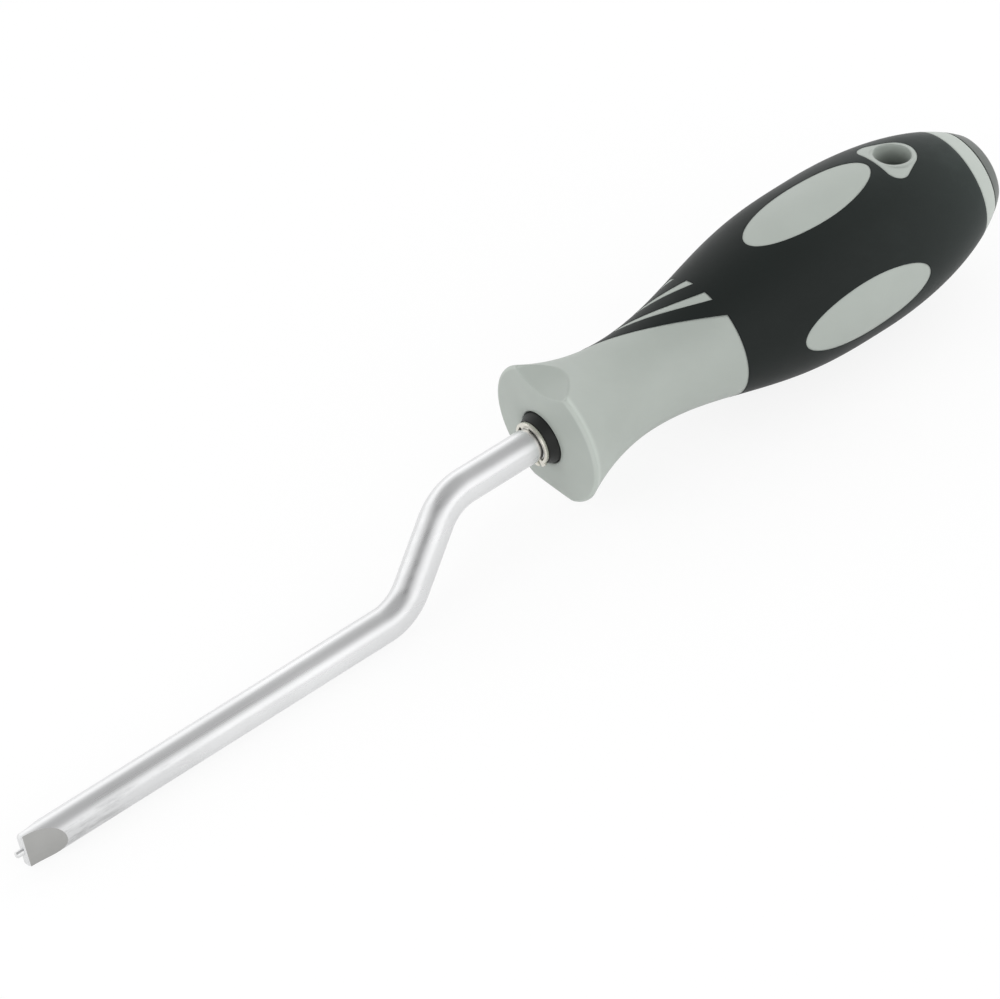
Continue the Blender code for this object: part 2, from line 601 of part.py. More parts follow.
def main():
    finishes = {
        "hard": finish("grey_plastic", (0.50, 0.53, 0.50), 0.5),
        "soft": finish("black_rubber", (0.02, 0.022, 0.02), 0.7),
        "cap": finish("charcoal_plastic", (0.03, 0.033, 0.03), 0.5),
        "chrome": finish("satin_chrome", (0.72, 0.72, 0.73), 0.25, 1.0),
        "spring": finish("nickel_spring_steel", (0.74, 0.72, 0.66), 0.3, 1.0),
        "steel": finish("bearing_steel", (0.62, 0.62, 0.63), 0.3, 1.0),
        "ball": finish("polished_steel", (0.75, 0.75, 0.76), 0.1, 1.0),
        "nylon": finish("cage_nylon", (0.75, 0.68, 0.5), 0.5),
        "rubber": finish("seal_rubber", (0.015, 0.015, 0.015), 0.6),
        "acetal": finish("black_acetal", (0.02, 0.02, 0.02), 0.45),
    }
    handle_axis = axis_empty("handle_axis", 0.0)
    shaft_axis = axis_empty("shaft_axis", 0.0, -CRANK_ROLL)
    handle_core(handle_axis, finishes["hard"])
    grip_volume("grip_sleeve", 0.0, 0.0, handle_axis, finishes["soft"])
    butt_cap(handle_axis, finishes["cap"])
    cranked_rod(shaft_axis, finishes["chrome"])
    retaining_ring("front_retaining_ring", CLIP_FRONT_AT, shaft_axis, finishes["spring"])
    retaining_ring("rear_retaining_ring", SHOULDER_AT, shaft_axis, finishes["spring"])
    dust_collar(shaft_axis, finishes["acetal"])
    bearing("front", BEARING_AT, shaft_axis, handle_axis, finishes)
    bearing("rear", REAR_BEARING_AT, shaft_axis, handle_axis, finishes)
    spacers(shaft_axis, handle_axis, finishes)


for old in list(bpy.data.objects):
    bpy.data.objects.remove(old)
PARTS = collection("spoke_nipple_driver")
CUTTERS = collection("cutters")
main()
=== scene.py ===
"""Looks of a cranked spoke nipple driver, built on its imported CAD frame."""

import math

import bpy
from mathutils import Matrix, Vector


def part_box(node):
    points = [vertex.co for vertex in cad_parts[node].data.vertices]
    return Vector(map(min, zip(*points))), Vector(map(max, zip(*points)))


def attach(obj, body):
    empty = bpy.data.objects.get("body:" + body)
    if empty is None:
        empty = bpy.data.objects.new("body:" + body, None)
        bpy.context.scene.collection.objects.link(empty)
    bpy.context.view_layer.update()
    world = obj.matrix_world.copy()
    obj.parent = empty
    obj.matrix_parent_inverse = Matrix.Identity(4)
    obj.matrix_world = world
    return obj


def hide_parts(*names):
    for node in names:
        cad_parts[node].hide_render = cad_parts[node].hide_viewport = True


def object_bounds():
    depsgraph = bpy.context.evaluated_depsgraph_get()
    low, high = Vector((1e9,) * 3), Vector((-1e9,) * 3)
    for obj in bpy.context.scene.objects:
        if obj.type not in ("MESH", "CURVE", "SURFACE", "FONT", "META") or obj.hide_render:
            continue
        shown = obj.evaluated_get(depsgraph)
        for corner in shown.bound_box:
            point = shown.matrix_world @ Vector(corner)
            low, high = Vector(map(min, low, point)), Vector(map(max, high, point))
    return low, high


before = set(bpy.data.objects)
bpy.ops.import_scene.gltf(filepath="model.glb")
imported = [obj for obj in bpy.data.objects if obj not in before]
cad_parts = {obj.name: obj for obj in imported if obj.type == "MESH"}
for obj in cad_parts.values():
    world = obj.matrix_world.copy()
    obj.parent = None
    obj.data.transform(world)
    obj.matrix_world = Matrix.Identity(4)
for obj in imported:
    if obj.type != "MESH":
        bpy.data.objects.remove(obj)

bl_info = {
    "name": "Spoke nipple driver",
    "version": (1, 0, 0),
    "blender": (4, 5, 0),
    "location": "View3D > Sidebar > Driver",
    "description": "Dresses the packed spoke nipple driver with finished pieces, materials and a studio",
    "category": "Object",
}

MM = 0.001
CAD_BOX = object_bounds()
CORE_LOW, CORE_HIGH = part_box("handle_core")
CAP_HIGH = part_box("butt_cap")[1]
ROD_LOW, ROD_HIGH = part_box("crank_rod")
MOUTH = CORE_LOW.x
AXIS = Vector((MOUTH, (CORE_LOW.y + CORE_HIGH.y) / 2, (CORE_LOW.z + CORE_HIGH.z) / 2))
QUARTER = math.pi / 2
TOP, BOTTOM = 0.0, math.pi
SIDES = (QUARTER, -QUARTER)
PIN_MM = 1.9
CORNER_MERGE, SEAM_MERGE = 0.000001, 0.000002


def length(name, description, default_mm):
    """A length property, given in millimetres."""
    return bpy.props.FloatProperty(name=name, description=description, default=default_mm * MM,
                                   unit="LENGTH", precision=5)


def degrees(name, description, default):
    """An angle property, given in degrees."""
    return bpy.props.FloatProperty(name=name, description=description, default=math.radians(default),
                                   subtype="ANGLE")


def number(name, description, default, low, high, subtype="NONE"):
    """A number property between two limits."""
    return bpy.props.FloatProperty(name=name, description=description, default=default, min=low, max=high,
                                   subtype=subtype)


def colour(name, description, default):
    """A colour property."""
    return bpy.props.FloatVectorProperty(name=name, description=description, default=default,
                                         subtype="COLOR", size=3, min=0.0, max=1.0)


class HandleSizes(bpy.types.PropertyGroup):
    """Sizes of the handle, counted from its mouth."""

    end: length("Length", "Mouth to butt", (CAP_HIGH.x - MOUTH) / MM)
    guard_radius: length("Guard radius", "Widest radius of the flared guard", 14.5)
    rim_at: length("Rim place", "Where the guard is widest", 1.7)
    rim_round: length("Rim rounding", "Rounding of the guard's edge", 0.6)
    waist_radius: length("Waist radius", "Thinnest radius of the neck", 9.7)
    waist_at: length("Waist place", "Where the neck is thinnest", 20.9)
    belly_radius: length("Belly radius", "Thickest radius of the handle", (CORE_HIGH.z - CORE_LOW.z) / 2 / MM)
    belly_share: number("Belly place", "Share of the length where the handle is thickest", 0.678, 0.3, 0.9,
                        "FACTOR")
    swell: number("Swell", "How soon the belly is reached behind the waist", 3.7, 1.0, 8.0)
    butt_radius: length("Butt radius", "Radius where the end is cut flat", 7.3)
    cap_height: length("Cap height", "Height of the dark cap", (CAP_HIGH.x - CORE_HIGH.x) / MM)
    ring_height: length("Butt ring", "Width of the hard ring between grip and cap", 4.1)
    bore_radius: length("Bore", "Radius of the mouth's bore", 5.56)
    scallop_radius: length("Scallop radius", "Radius of the thumb scallop across the guard", 16.7)
    scallop_floor: length("Scallop floor", "Distance of the scallop's floor from the axis at the mouth", 10.6)
    scallop_tilt: degrees("Scallop tilt", "How much deeper the scallop is at the mouth", 14.0)
    flat_floor: length("Guard flat", "Distance of the lower guard flat from the axis", 12.75)


class GripSizes(bpy.types.PropertyGroup):
    """Sizes of the soft grip and of the hard pads that show through it."""

    wall: length("Wall", "Thickness of the grip", 1.6)
    proud: length("Stand", "How far the grip stands proud of the core", 0.05)
    lip: length("Lip", "Rounding of the grip's edges", 0.14)
    front: length("Front edge", "Place of the grip's front edge", 40.2)
    panel_setback: length("Panel setback", "Front edge of the grip to the oval panels", 11.95)
    panel_gap: length("Panel gap", "Oval panel to the hang pad", 1.5)
    panel_width: length("Panel width", "Width of an oval panel", 12.2)
    finger_near: length("Finger near side", "Near side of the swept finger at its root", -7.86)
    finger_bend: length("Finger bend", "How far forward the finger's edge bends", 14.1)
    finger_reach: length("Finger reach", "How far forward the finger reaches", 23.5)
    finger_across: length("Finger tip", "Sideways place of the finger's tip", 7.3)
    finger_far: length("Finger far side", "Far side of the finger at its root", 10.9)
    finger_tip: length("Finger tip width", "Width of the finger's tip", 0.9)
    stripe_setback: length("Stripe setback", "Front edge of the grip to the stripes' blunt ends", 0.4)
    stripe_tip: number("Stripe taper", "Share of its width that a stripe keeps at its tip", 0.5, 0.0, 1.0,
                       "FACTOR")
    hole_inset: length("Hang hole inset", "End of the grip to the hang hole", 12.3)
    hole_radius: length("Hang hole radius", "Radius of the hang hole", 3.7)
    hole_round: length("Hang hole rounding", "Rounding of the hang hole's edge", 0.3)
    lip_width: length("Hang hole lip", "Width of the flat lip round the hang hole", 0.65)
    lip_drop: length("Lip drop", "How far the flat lip lies below the pad's crown", 0.2)
    pad_ring: length("Pad ring", "Hard ring round the hang hole", 1.05)
    pad_half_width: length("Pad half width", "Half width of the pad's front edge", 6.4)
    pad_corner: length("Pad corner", "Rounding of the pad's front corners", 2.4)


class RodSizes(bpy.types.PropertyGroup):
    """Sizes of the cranked rod and of the pieces on it."""

    radius: length("Rod radius", "Radius of the round bar", 3.45)
    reach: length("Reach", "Mouth of the handle to the blade's end", (MOUTH - ROD_LOW.x) / MM - PIN_MM)
    tail: length("Tail", "How far the rod runs into the handle", (ROD_HIGH.x - MOUTH) / MM)
    crank_at: length("Crank place", "Mouth of the handle to the first bend", 23.3)
    crank_offset: length("Crank offset", "Sideways step of the crank", 15.0)
    bend_angle: degrees("Bend", "Angle of each bend", 41.0)
    bend_radius: length("Bend radius", "Radius of each bend", 13.0)
    blade_thickness: length("Blade thickness", "Thickness of the blade's edge", 1.44)
    grind_radius: length("Grind radius", "Radius of the wheel that hollows the blade's faces", 11.1)
    blade_turn: degrees("Blade turn", "Turn of the blade from the crank's plane", 16.0)
    blade_chamfer: length("Blade chamfer", "Chamfer round the rod's end", 0.45)
    pin_radius: length("Pin radius", "Radius of the pilot pin", 0.65)
    pin_length: length("Pin length", "Length of the pilot pin", PIN_MM)
    groove_depth: length("Groove depth", "Depth of the ring's groove", 0.2)
    collar_radius: length("Collar radius", "Radius of the dust collar in the mouth", 5.35)
    collar_nose: length("Collar nose", "Radius of the dust collar's nose", 4.55)
    collar_proud: length("Collar stand", "How far the collar stands out of the mouth", 1.7)
    ring_radius: length("Ring radius", "Outer radius of the retaining ring", 4.4)
    ring_thickness: length("Ring thickness", "Thickness of the retaining ring", 0.8)


class BearingSizes(bpy.types.PropertyGroup):
    """Sizes of the two ball bearings inside the handle."""

    outer_radius: length("Outer radius", "Outer radius of the outer rings", 5.5)
    outer_land: length("Outer land", "Inner radius of the outer rings beside the groove", 4.95)
    inner_land: length("Inner land", "Outer radius of the inner rings beside the groove", 4.05)
    bore: length("Bore", "Radius of the inner rings' bore", 3.51)
    groove_radius: length("Groove radius", "Radius of the ball groove's section", 0.65)
    chamfer: length("Chamfer", "Chamfer of the rings' corners", 0.12)


class FinishColours(bpy.types.PropertyGroup):
    """Colours of the finishes."""

    hard: colour("Hard plastic", "Grey core", (0.367, 0.399, 0.370))
    soft: colour("Soft grip", "Black rubber", (0.0088, 0.0118, 0.0109))
    cap: colour("Cap plastic", "Charcoal cap", (0.083, 0.093, 0.085))
    chrome: colour("Rod plating", "Satin chrome", (0.78, 0.785, 0.79))
    blade: colour("Ground steel", "Bare ground faces of the blade", (0.45, 0.45, 0.44))
    spring: colour("Spring steel", "Nickel ring", (0.72, 0.70, 0.63))
    collar: colour("Collar plastic", "Black collar", (0.012, 0.013, 0.012))
    steel: colour("Bearing steel", "Rings and spacers", (0.58, 0.58, 0.59))
    ball: colour("Ball steel", "Polished balls", (0.75, 0.75, 0.76))
    cage: colour("Cage plastic", "Ball cages", (0.62, 0.52, 0.34))
    seal: colour("Seal rubber", "Bearing seals", (0.015, 0.015, 0.015))


class StudioSettings(bpy.types.PropertyGroup):
    """The photograph's camera and a plain studio."""

    distance: length("Camera distance", "Camera to the guard", 1200.0)
    shift_right: length("Guard to the right", "Guard's place right of the picture's middle", 8.42)
    shift_up: length("Guard up", "Guard's place above the picture's middle", 11.96)
    slope: degrees("Slope", "Slope of the tool in the picture", 31.93)
    foreshortening: degrees("Foreshortening", "Lean of the tool's tip towards the camera", 24.7)
    roll: degrees("Roll", "Turn of the handle about its axis in the picture", -43.4)
    lens: number("Lens", "Focal length in millimetres on a 36 mm sensor", 231.55, 10.0, 1000.0)
    horizon: number("Horizon", "Strength of the light tent's walls", 1.31, 0.0, 5.0)
    zenith: number("Zenith", "Strength of the light tent's roof", 0.51, 0.0, 5.0)
    tip_wall: number("Tip wall", "Share of the walls' light on the tip's side", 0.62, 0.0, 2.0)
    roof_lean: number("Roof lean", "How far the roof draws back on the tip's side", 0.13, 0.0, 1.0)
    slot: number("Slot", "Share of the light in the tent's dark slot", 0.55, 0.0, 1.0)
    floor: colour("Floor", "Pale floor", (0.92, 0.92, 0.92))


SETTINGS = (("driver_handle", HandleSizes), ("driver_grip", GripSizes), ("driver_rod", RodSizes),
            ("driver_bearing", BearingSizes), ("driver_finish", FinishColours), ("driver_studio", StudioSettings))

# Each stripe's width and the sideways place of its root, then its bend and tip: distance ahead of the root and
# sideways place
STRIPES_MM = ((2.0, -3.17, (6.8, 0.1), (15.6, 6.4)), (1.8, 2.25, (4.6, 4.7), (10.0, 8.0)),
              (1.4, 7.7, (1.5, 8.6), (3.0, 9.5)))


# Places on the handle

def handle_radius(x):
    """Outer radius of the handle at a distance behind its mouth."""
    h = bpy.context.scene.driver_handle
    belly_at = h.belly_share * h.end
    if x < h.waist_at:
        rise = (h.waist_at - x) / (h.waist_at - h.rim_at)
        return h.waist_radius + (h.guard_radius - h.waist_radius) * rise ** 2
    if x < belly_at:
        rise = (x - h.waist_at) / (belly_at - h.waist_at)
        return h.waist_radius + (h.belly_radius - h.waist_radius) * (1 - (1 - rise ** 2) ** h.swell)
    tail = (h.end - belly_at) / math.sqrt(1 - (h.butt_radius / h.belly_radius) ** 2)
    return h.belly_radius * math.sqrt(1 - ((x - belly_at) / tail) ** 2)


def stations(start, end, count):
    """Evenly spaced places, both ends included."""
    return [start + (end - start) * i / (count - 1) for i in range(count)]


def arc(centre, radius, start, end, count):
    """Points on an arc."""
    return [(centre[0] + radius * math.cos(a), centre[1] + radius * math.sin(a))
            for a in stations(start, end, count)]


def sweep(first, control, last, count):
    """Points on a quadratic curve in plan."""
    points = []
    for t in stations(0.0, 1.0, count):
        weights = ((1 - t) ** 2, 2 * t * (1 - t), t ** 2)
        points.append(tuple(sum(w * p[k] for w, p in zip(weights, (first, control, last))) for k in (0, 1)))
    return points


def grip_end():
    """Place of the grip's rear edge."""
    h = bpy.context.scene.driver_handle
    return h.end - h.cap_height - h.ring_height


def hang_hole_at():
    """Place of the hang hole's middle."""
    return grip_end() - bpy.context.scene.driver_grip.hole_inset


def crank_roll():
    """Turn of the crank at rest, so that belly and rod both touch the surface."""
    r = bpy.context.scene.driver_rod
    belly = bpy.context.scene.driver_handle.belly_radius
    return math.acos(min(1.0, (belly - r.radius) / r.crank_offset))


def crank_offset():
    """The crank's step at rest, as a vector across the tool."""
    step = bpy.context.scene.driver_rod.crank_offset
    return Vector((0.0, -math.sin(crank_roll()) * step, -math.cos(crank_roll()) * step))


# Modelling by hand

def begin():
    """Leave edit mode and clear the selection before a new piece."""
    if bpy.context.object is not None and bpy.context.object.mode != "OBJECT":
        bpy.ops.object.mode_set(mode="OBJECT")
    bpy.ops.object.select_all(action="DESELECT")


def pick(piece):
    """Select one piece alone."""
    begin()
    piece.select_set(True)
    bpy.context.view_layer.objects.active = piece


def settled():
    """The primitive just added, with its place and turn written into its mesh."""
    bpy.ops.object.transform_apply(location=True, rotation=True, scale=True)
    return bpy.context.object


def cylinder(sides, radius, depth, place, turn=(0.0, 0.0, 0.0)):
    """A round bar, to cut a piece with or to join to it."""
    begin()
    bpy.ops.mesh.primitive_cylinder_add(vertices=sides, radius=radius, depth=depth, location=place, rotation=turn)
    return settled()


def edit(kind, action="SELECT"):
    """Enter edit mode with everything or nothing selected."""
    bpy.ops.object.mode_set(mode="EDIT")
    bpy.ops.mesh.select_mode(type=kind)
    bpy.ops.mesh.select_all(action=action)


def choose(piece, kind, test):
    """Enter edit mode with only those edges or faces selected that pass a test."""
    pick(piece)
    edit(kind, "DESELECT")
    bpy.ops.object.mode_set(mode="OBJECT")
    for item in piece.data.edges if kind == "EDGE" else piece.data.polygons:
        item.select = test(item)
    bpy.ops.object.mode_set(mode="EDIT")


def extrude(step):
    """Pull the selection along a step."""
    bpy.ops.mesh.extrude_region_move(TRANSFORM_OT_translate={"value": step})


def widen(share, centre):
    """Scale the selection across the tool, about a point."""
    bpy.ops.transform.resize(value=(1.0, share, share), center_override=centre)


def draw_line(points):
    """Draw a line of vertices in edit mode, from a plane merged to one vertex."""
    begin()
    bpy.ops.mesh.primitive_plane_add(size=MM, location=points[0])
    piece = settled()
    edit("VERT")
    bpy.ops.mesh.merge(type="CENTER")
    for before, after in zip(points, points[1:]):
        extrude(Vector(after) - Vector(before))
    bpy.ops.mesh.select_all(action="SELECT")
    return piece


def draw_face(points):
    """Draw a closed outline in edit mode and fill it."""
    piece = draw_line(points + points[:1])
    bpy.ops.mesh.remove_doubles(threshold=CORNER_MERGE)
    bpy.ops.mesh.select_all(action="SELECT")
    bpy.ops.mesh.edge_face_add()
    return piece


def tidy():
    """Merge doubles and point the faces outwards, then leave edit mode."""
    bpy.ops.mesh.select_all(action="SELECT")
    bpy.ops.mesh.remove_doubles(threshold=SEAM_MERGE)
    bpy.ops.mesh.normals_make_consistent(inside=False)
    bpy.ops.object.mode_set(mode="OBJECT")


def lathe(name, outline, sides, ring=True):
    """Turn an outline of (place, radius) points round the tool's axis."""
    points = [(MOUTH + x, AXIS.y, AXIS.z + r) for x, r in outline]
    if ring:
        points.append(points[0])
    piece = draw_line(points)
    bpy.ops.mesh.spin(steps=sides, angle=2 * math.pi, center=AXIS, axis=(1.0, 0.0, 0.0))
    tidy()
    piece.name = name
    return piece


def block(name, outline, low, high, roll):
    """A plan outline raised from one height over the axis to another, then rolled about the axis."""
    piece = draw_face([(MOUTH + x, AXIS.y + y, AXIS.z + low) for x, y in outline])
    extrude((0.0, 0.0, high - low))
    tidy()
    piece.name = name
    roll_piece(piece, roll, mirrored=roll == BOTTOM)
    return piece


def roll_piece(piece, roll, mirrored=False):
    """Roll a piece about the tool's axis; a mirrored one keeps its left and right."""
    if mirrored:
        turn = Matrix.Scale(-1.0, 4, (0.0, 0.0, 1.0))
    else:
        turn = Matrix.Rotation(roll, 4, "X")
    piece.data.transform(Matrix.Translation(AXIS) @ turn @ Matrix.Translation(-AXIS))
    if mirrored:
        piece.data.flip_normals()


def modify(piece, kind, **settings):
    """Add a modifier to a piece and apply it."""
    pick(piece)
    modifier = piece.modifiers.new(kind.lower(), kind)
    for key, value in settings.items():
        setattr(modifier, key, value)
    bpy.ops.object.modifier_apply(modifier=modifier.name)


def cut(piece, tools, operation="DIFFERENCE", keep=False):
    """Cut a piece with joined tools through a Boolean modifier, and remove the tools."""
    begin()
    for tool in tools:
        tool.select_set(True)
    bpy.context.view_layer.objects.active = tools[0]
    if len(tools) > 1:
        bpy.ops.object.join()
    modify(piece, "BOOLEAN", operation=operation, solver="EXACT", object=tools[0])
    if not keep:
        bpy.data.objects.remove(tools[0])


def soften(piece, width, segments=2, angle=35.0):
    """Round the sharp edges of a piece with a Bevel modifier."""
    modify(piece, "BEVEL", width=width, segments=segments, limit_method="ANGLE",
           angle_limit=math.radians(angle), use_clamp_overlap=True)


def shade(piece, angle=32.0):
    """Smooth shading with crisp edges."""
    pick(piece)
    bpy.ops.object.shade_smooth_by_angle(angle=math.radians(angle))


def dress(piece, material, body, nodes):
    """Give a finished piece its material and hand it to the frame."""
    piece.data.materials.clear()
    piece.data.materials.append(material)
    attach(piece, body)
    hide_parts(*nodes)


# Materials

MOTTLE_TONES = (0.95, 1.05)
# The first three tones are painted light: a highlight on the guard's edges, shade inside the hang hole and a butt
# ring made lighter as if lit; the last is real wear on the rod.
RIM_HIGHLIGHT_TONE, BORE_SHADE_TONE, BUTT_PAINTED_LIGHT_TONE, SCUFF_TONE = 1.2, 0.35, 1.12, 0.58
DUST_GREY = 0.45


def add_node(tree, kind, inputs=(), **settings):
    """A shader node with its settings, and its inputs linked to sockets or set; gives its outputs."""
    node = tree.nodes.new("ShaderNode" + kind)
    for key, value in settings.items():
        setattr(node, key, value)
    for key, value in dict(inputs).items():
        if isinstance(value, bpy.types.NodeSocket):
            tree.links.new(value, node.inputs[key])
        else:
            node.inputs[key].default_value = value
    return node.outputs


def noise(tree, place, scale, detail=3.0, roughness=0.55):
    """A noise texture read at a place."""
    inputs = {"Vector": place, "Scale": scale, "Detail": detail, "Roughness": roughness}
    return add_node(tree, "TexNoise", inputs)["Fac"]


def spread(tree, value, low, high, out_low=0.0, out_high=1.0):
    """Map a value from one span to another, clamped."""
    spans = {"Value": value, "From Min": low, "From Max": high, "To Min": out_low, "To Max": out_high}
    return add_node(tree, "MapRange", spans)["Result"]


def combine(tree, operation, first, second):
    """A math node on two values."""
    return add_node(tree, "Math", {0: first, 1: second}, operation=operation)["Value"]


def times(tree, first, second):
    """The product of two values."""
    return combine(tree, "MULTIPLY", first, second)


def vector_math(tree, operation, *vectors):
    """A vector math node; gives its outputs."""
    return add_node(tree, "VectorMath", enumerate(vectors), operation=operation)


def moulded_grain(group, given):
    """Spark-eroded mould texture: a fine height and a soft mottle of the tone."""
    fine = noise(group, given["Place"], given["Grain Scale"], detail=2.0, roughness=0.5)
    coarse = noise(group, given["Place"], given["Mottle Scale"], detail=4.0)
    return fine, spread(group, coarse, 0.3, 0.7)


def handling_marks(group, given):
    """Rubbed patches and a few pale specks left by handling; on the rubber the patches towards the butt also carry
    painted sheen.
    """
    patches = noise(group, given["Place"], given["Patch Scale"], detail=5.0, roughness=0.65)
    cells = add_node(group, "TexVoronoi", {"Vector": given["Place"], "Scale": given["Speck Scale"]})
    spots = spread(group, cells["Distance"], 0.05, 0.11, 1.0, 0.0)
    chosen = add_node(group, "SeparateColor", {"Color": cells["Color"]})["Red"]
    few = combine(group, "GREATER_THAN", chosen, 0.93)
    return spread(group, patches, 0.47, 0.76), times(group, spots, few)


def drawn_lines(group, given):
    """Faint polishing lines along the tool, a soft cloud, a slow ripple and scuffed streaks."""
    place = given["Place"]
    stretch = add_node(group, "CombineXYZ", {"X": given["Stretch"], "Y": 1.0, "Z": 1.0})["Vector"]
    lines = noise(group, vector_math(group, "MULTIPLY", place, stretch)["Vector"], given["Line Scale"], detail=2.0)
    cloud = noise(group, place, 45.0)
    ripple = noise(group, place, 330.0, detail=2.0)
    drawn_out = vector_math(group, "MULTIPLY", place, (0.16, 1.0, 1.0))["Vector"]
    scuffs = noise(group, drawn_out, 520.0, detail=6.0, roughness=0.75)
    return spread(group, lines, 0.3, 0.7), spread(group, cloud, 0.35, 0.7), ripple, spread(group, scuffs, 0.5, 0.64)


EFFECTS = {
    "moulded_grain": (moulded_grain, {"Grain Scale": 2600.0, "Mottle Scale": 55.0}, ("Height", "Mottle")),
    "handling_marks": (handling_marks, {"Patch Scale": 30.0, "Speck Scale": 190.0}, ("Patches", "Specks")),
    "drawn_lines": (drawn_lines, {"Line Scale": 900.0, "Stretch": 0.03}, ("Lines", "Cloud", "Ripple", "Streaks")),
}


def shared(name):
    """A node group that more than one finish uses, built once."""
    if name not in bpy.data.node_groups:
        effect, inputs, outputs = EFFECTS[name]
        group = bpy.data.node_groups.new(name, "ShaderNodeTree")
        sockets = group.interface
        for label, default in inputs.items():
            sockets.new_socket(label, in_out="INPUT", socket_type="NodeSocketFloat").default_value = default
        sockets.new_socket("Place", in_out="INPUT", socket_type="NodeSocketVector")
        for label in outputs:
            sockets.new_socket(label, in_out="OUTPUT", socket_type="NodeSocketFloat")
        source, sink = group.nodes.new("NodeGroupInput"), group.nodes.new("NodeGroupOutput")
        for label, value in zip(outputs, effect(group, source.outputs)):
            group.links.new(value, sink.inputs[label])
    return bpy.data.node_groups[name]


def new_finish(name, roughness, metallic=0.0, **sockets):
    """A material with a Principled shader; constants sit on the shader's own sockets."""
    material = bpy.data.materials.new(name)
    material.use_nodes = True
    shader = material.node_tree.nodes["Principled BSDF"]
    for label, value in dict(sockets, Roughness=roughness, Metallic=metallic).items():
        shader.inputs[label.replace("_", " ")].default_value = value
    return material, material.node_tree, shader


def add_group(tree, name, place, **values):
    """Place a shared group in a material with its own values; gives its outputs."""
    inputs = {label.replace("_", " "): value for label, value in values.items()}
    return add_node(tree, "Group", {"Place": place, **inputs}, node_tree=shared(name))


def blend_colour(tree, factor, first, second):
    """Mix a colour, or a socket that carries one, with a second colour by a factor."""
    if not isinstance(first, bpy.types.NodeSocket):
        first = (*first, 1.0)
    return add_node(tree, "Mix", {"Factor": factor, 6: first, 7: (*second, 1.0)}, data_type="RGBA")[2]


def bump(tree, height, strength, distance, shader, under=None):
    """Feed a height to the shader's normal, over the surface's own normal or a softened one."""
    inputs = {"Strength": strength, "Distance": distance, "Height": height}
    if under is not None:
        inputs["Normal"] = under
    tree.links.new(add_node(tree, "Bump", inputs)["Normal"], shader.inputs["Normal"])


def along(tree, place, start, end):
    """A ramp from 0 to 1 between two distances behind the mouth."""
    x = add_node(tree, "SeparateXYZ", {0: place})["X"]
    return spread(tree, x, MOUTH + start, MOUTH + end)


def soft_edges(tree, radius):
    """A normal that rounds the sharp edges, and a mask of those edges where a highlight is painted."""
    rounded = add_node(tree, "Bevel", {"Radius": radius}, samples=6)["Normal"]
    plain = add_node(tree, "NewGeometry")["Normal"]
    return rounded, spread(tree, vector_math(tree, "DOT_PRODUCT", rounded, plain)["Value"], 0.998, 0.94)


def toned(base, share):
    """A colour made lighter or darker by a share."""
    return tuple(min(1.0, c * share) for c in base)


def from_axis(tree, place):
    """Distance from the tool's axis."""
    across = vector_math(tree, "MULTIPLY_ADD", place, (0.0, 1.0, 1.0), (0.0, -AXIS.y, -AXIS.z))["Vector"]
    return vector_math(tree, "LENGTH", across)["Value"]


def guard_ridge_highlight(tree, place):
    """A mask of the guard's outermost ridge, where a highlight is painted."""
    return spread(tree, from_axis(tree, place), 13.75 * MM, 14.15 * MM)


def bore_painted_shade(tree, place):
    """A mask for painted shade inside the hang hole, growing from the hole's ends to its middle."""
    depth = spread(tree, from_axis(tree, place), 14.0 * MM, 8.0 * MM)
    reach = 4.5 * MM
    start, end = hang_hole_at() - reach, hang_hole_at() + reach
    here = combine(tree, "SUBTRACT", along(tree, place, start, start + MM), along(tree, place, end, end + MM))
    return times(tree, depth, here)


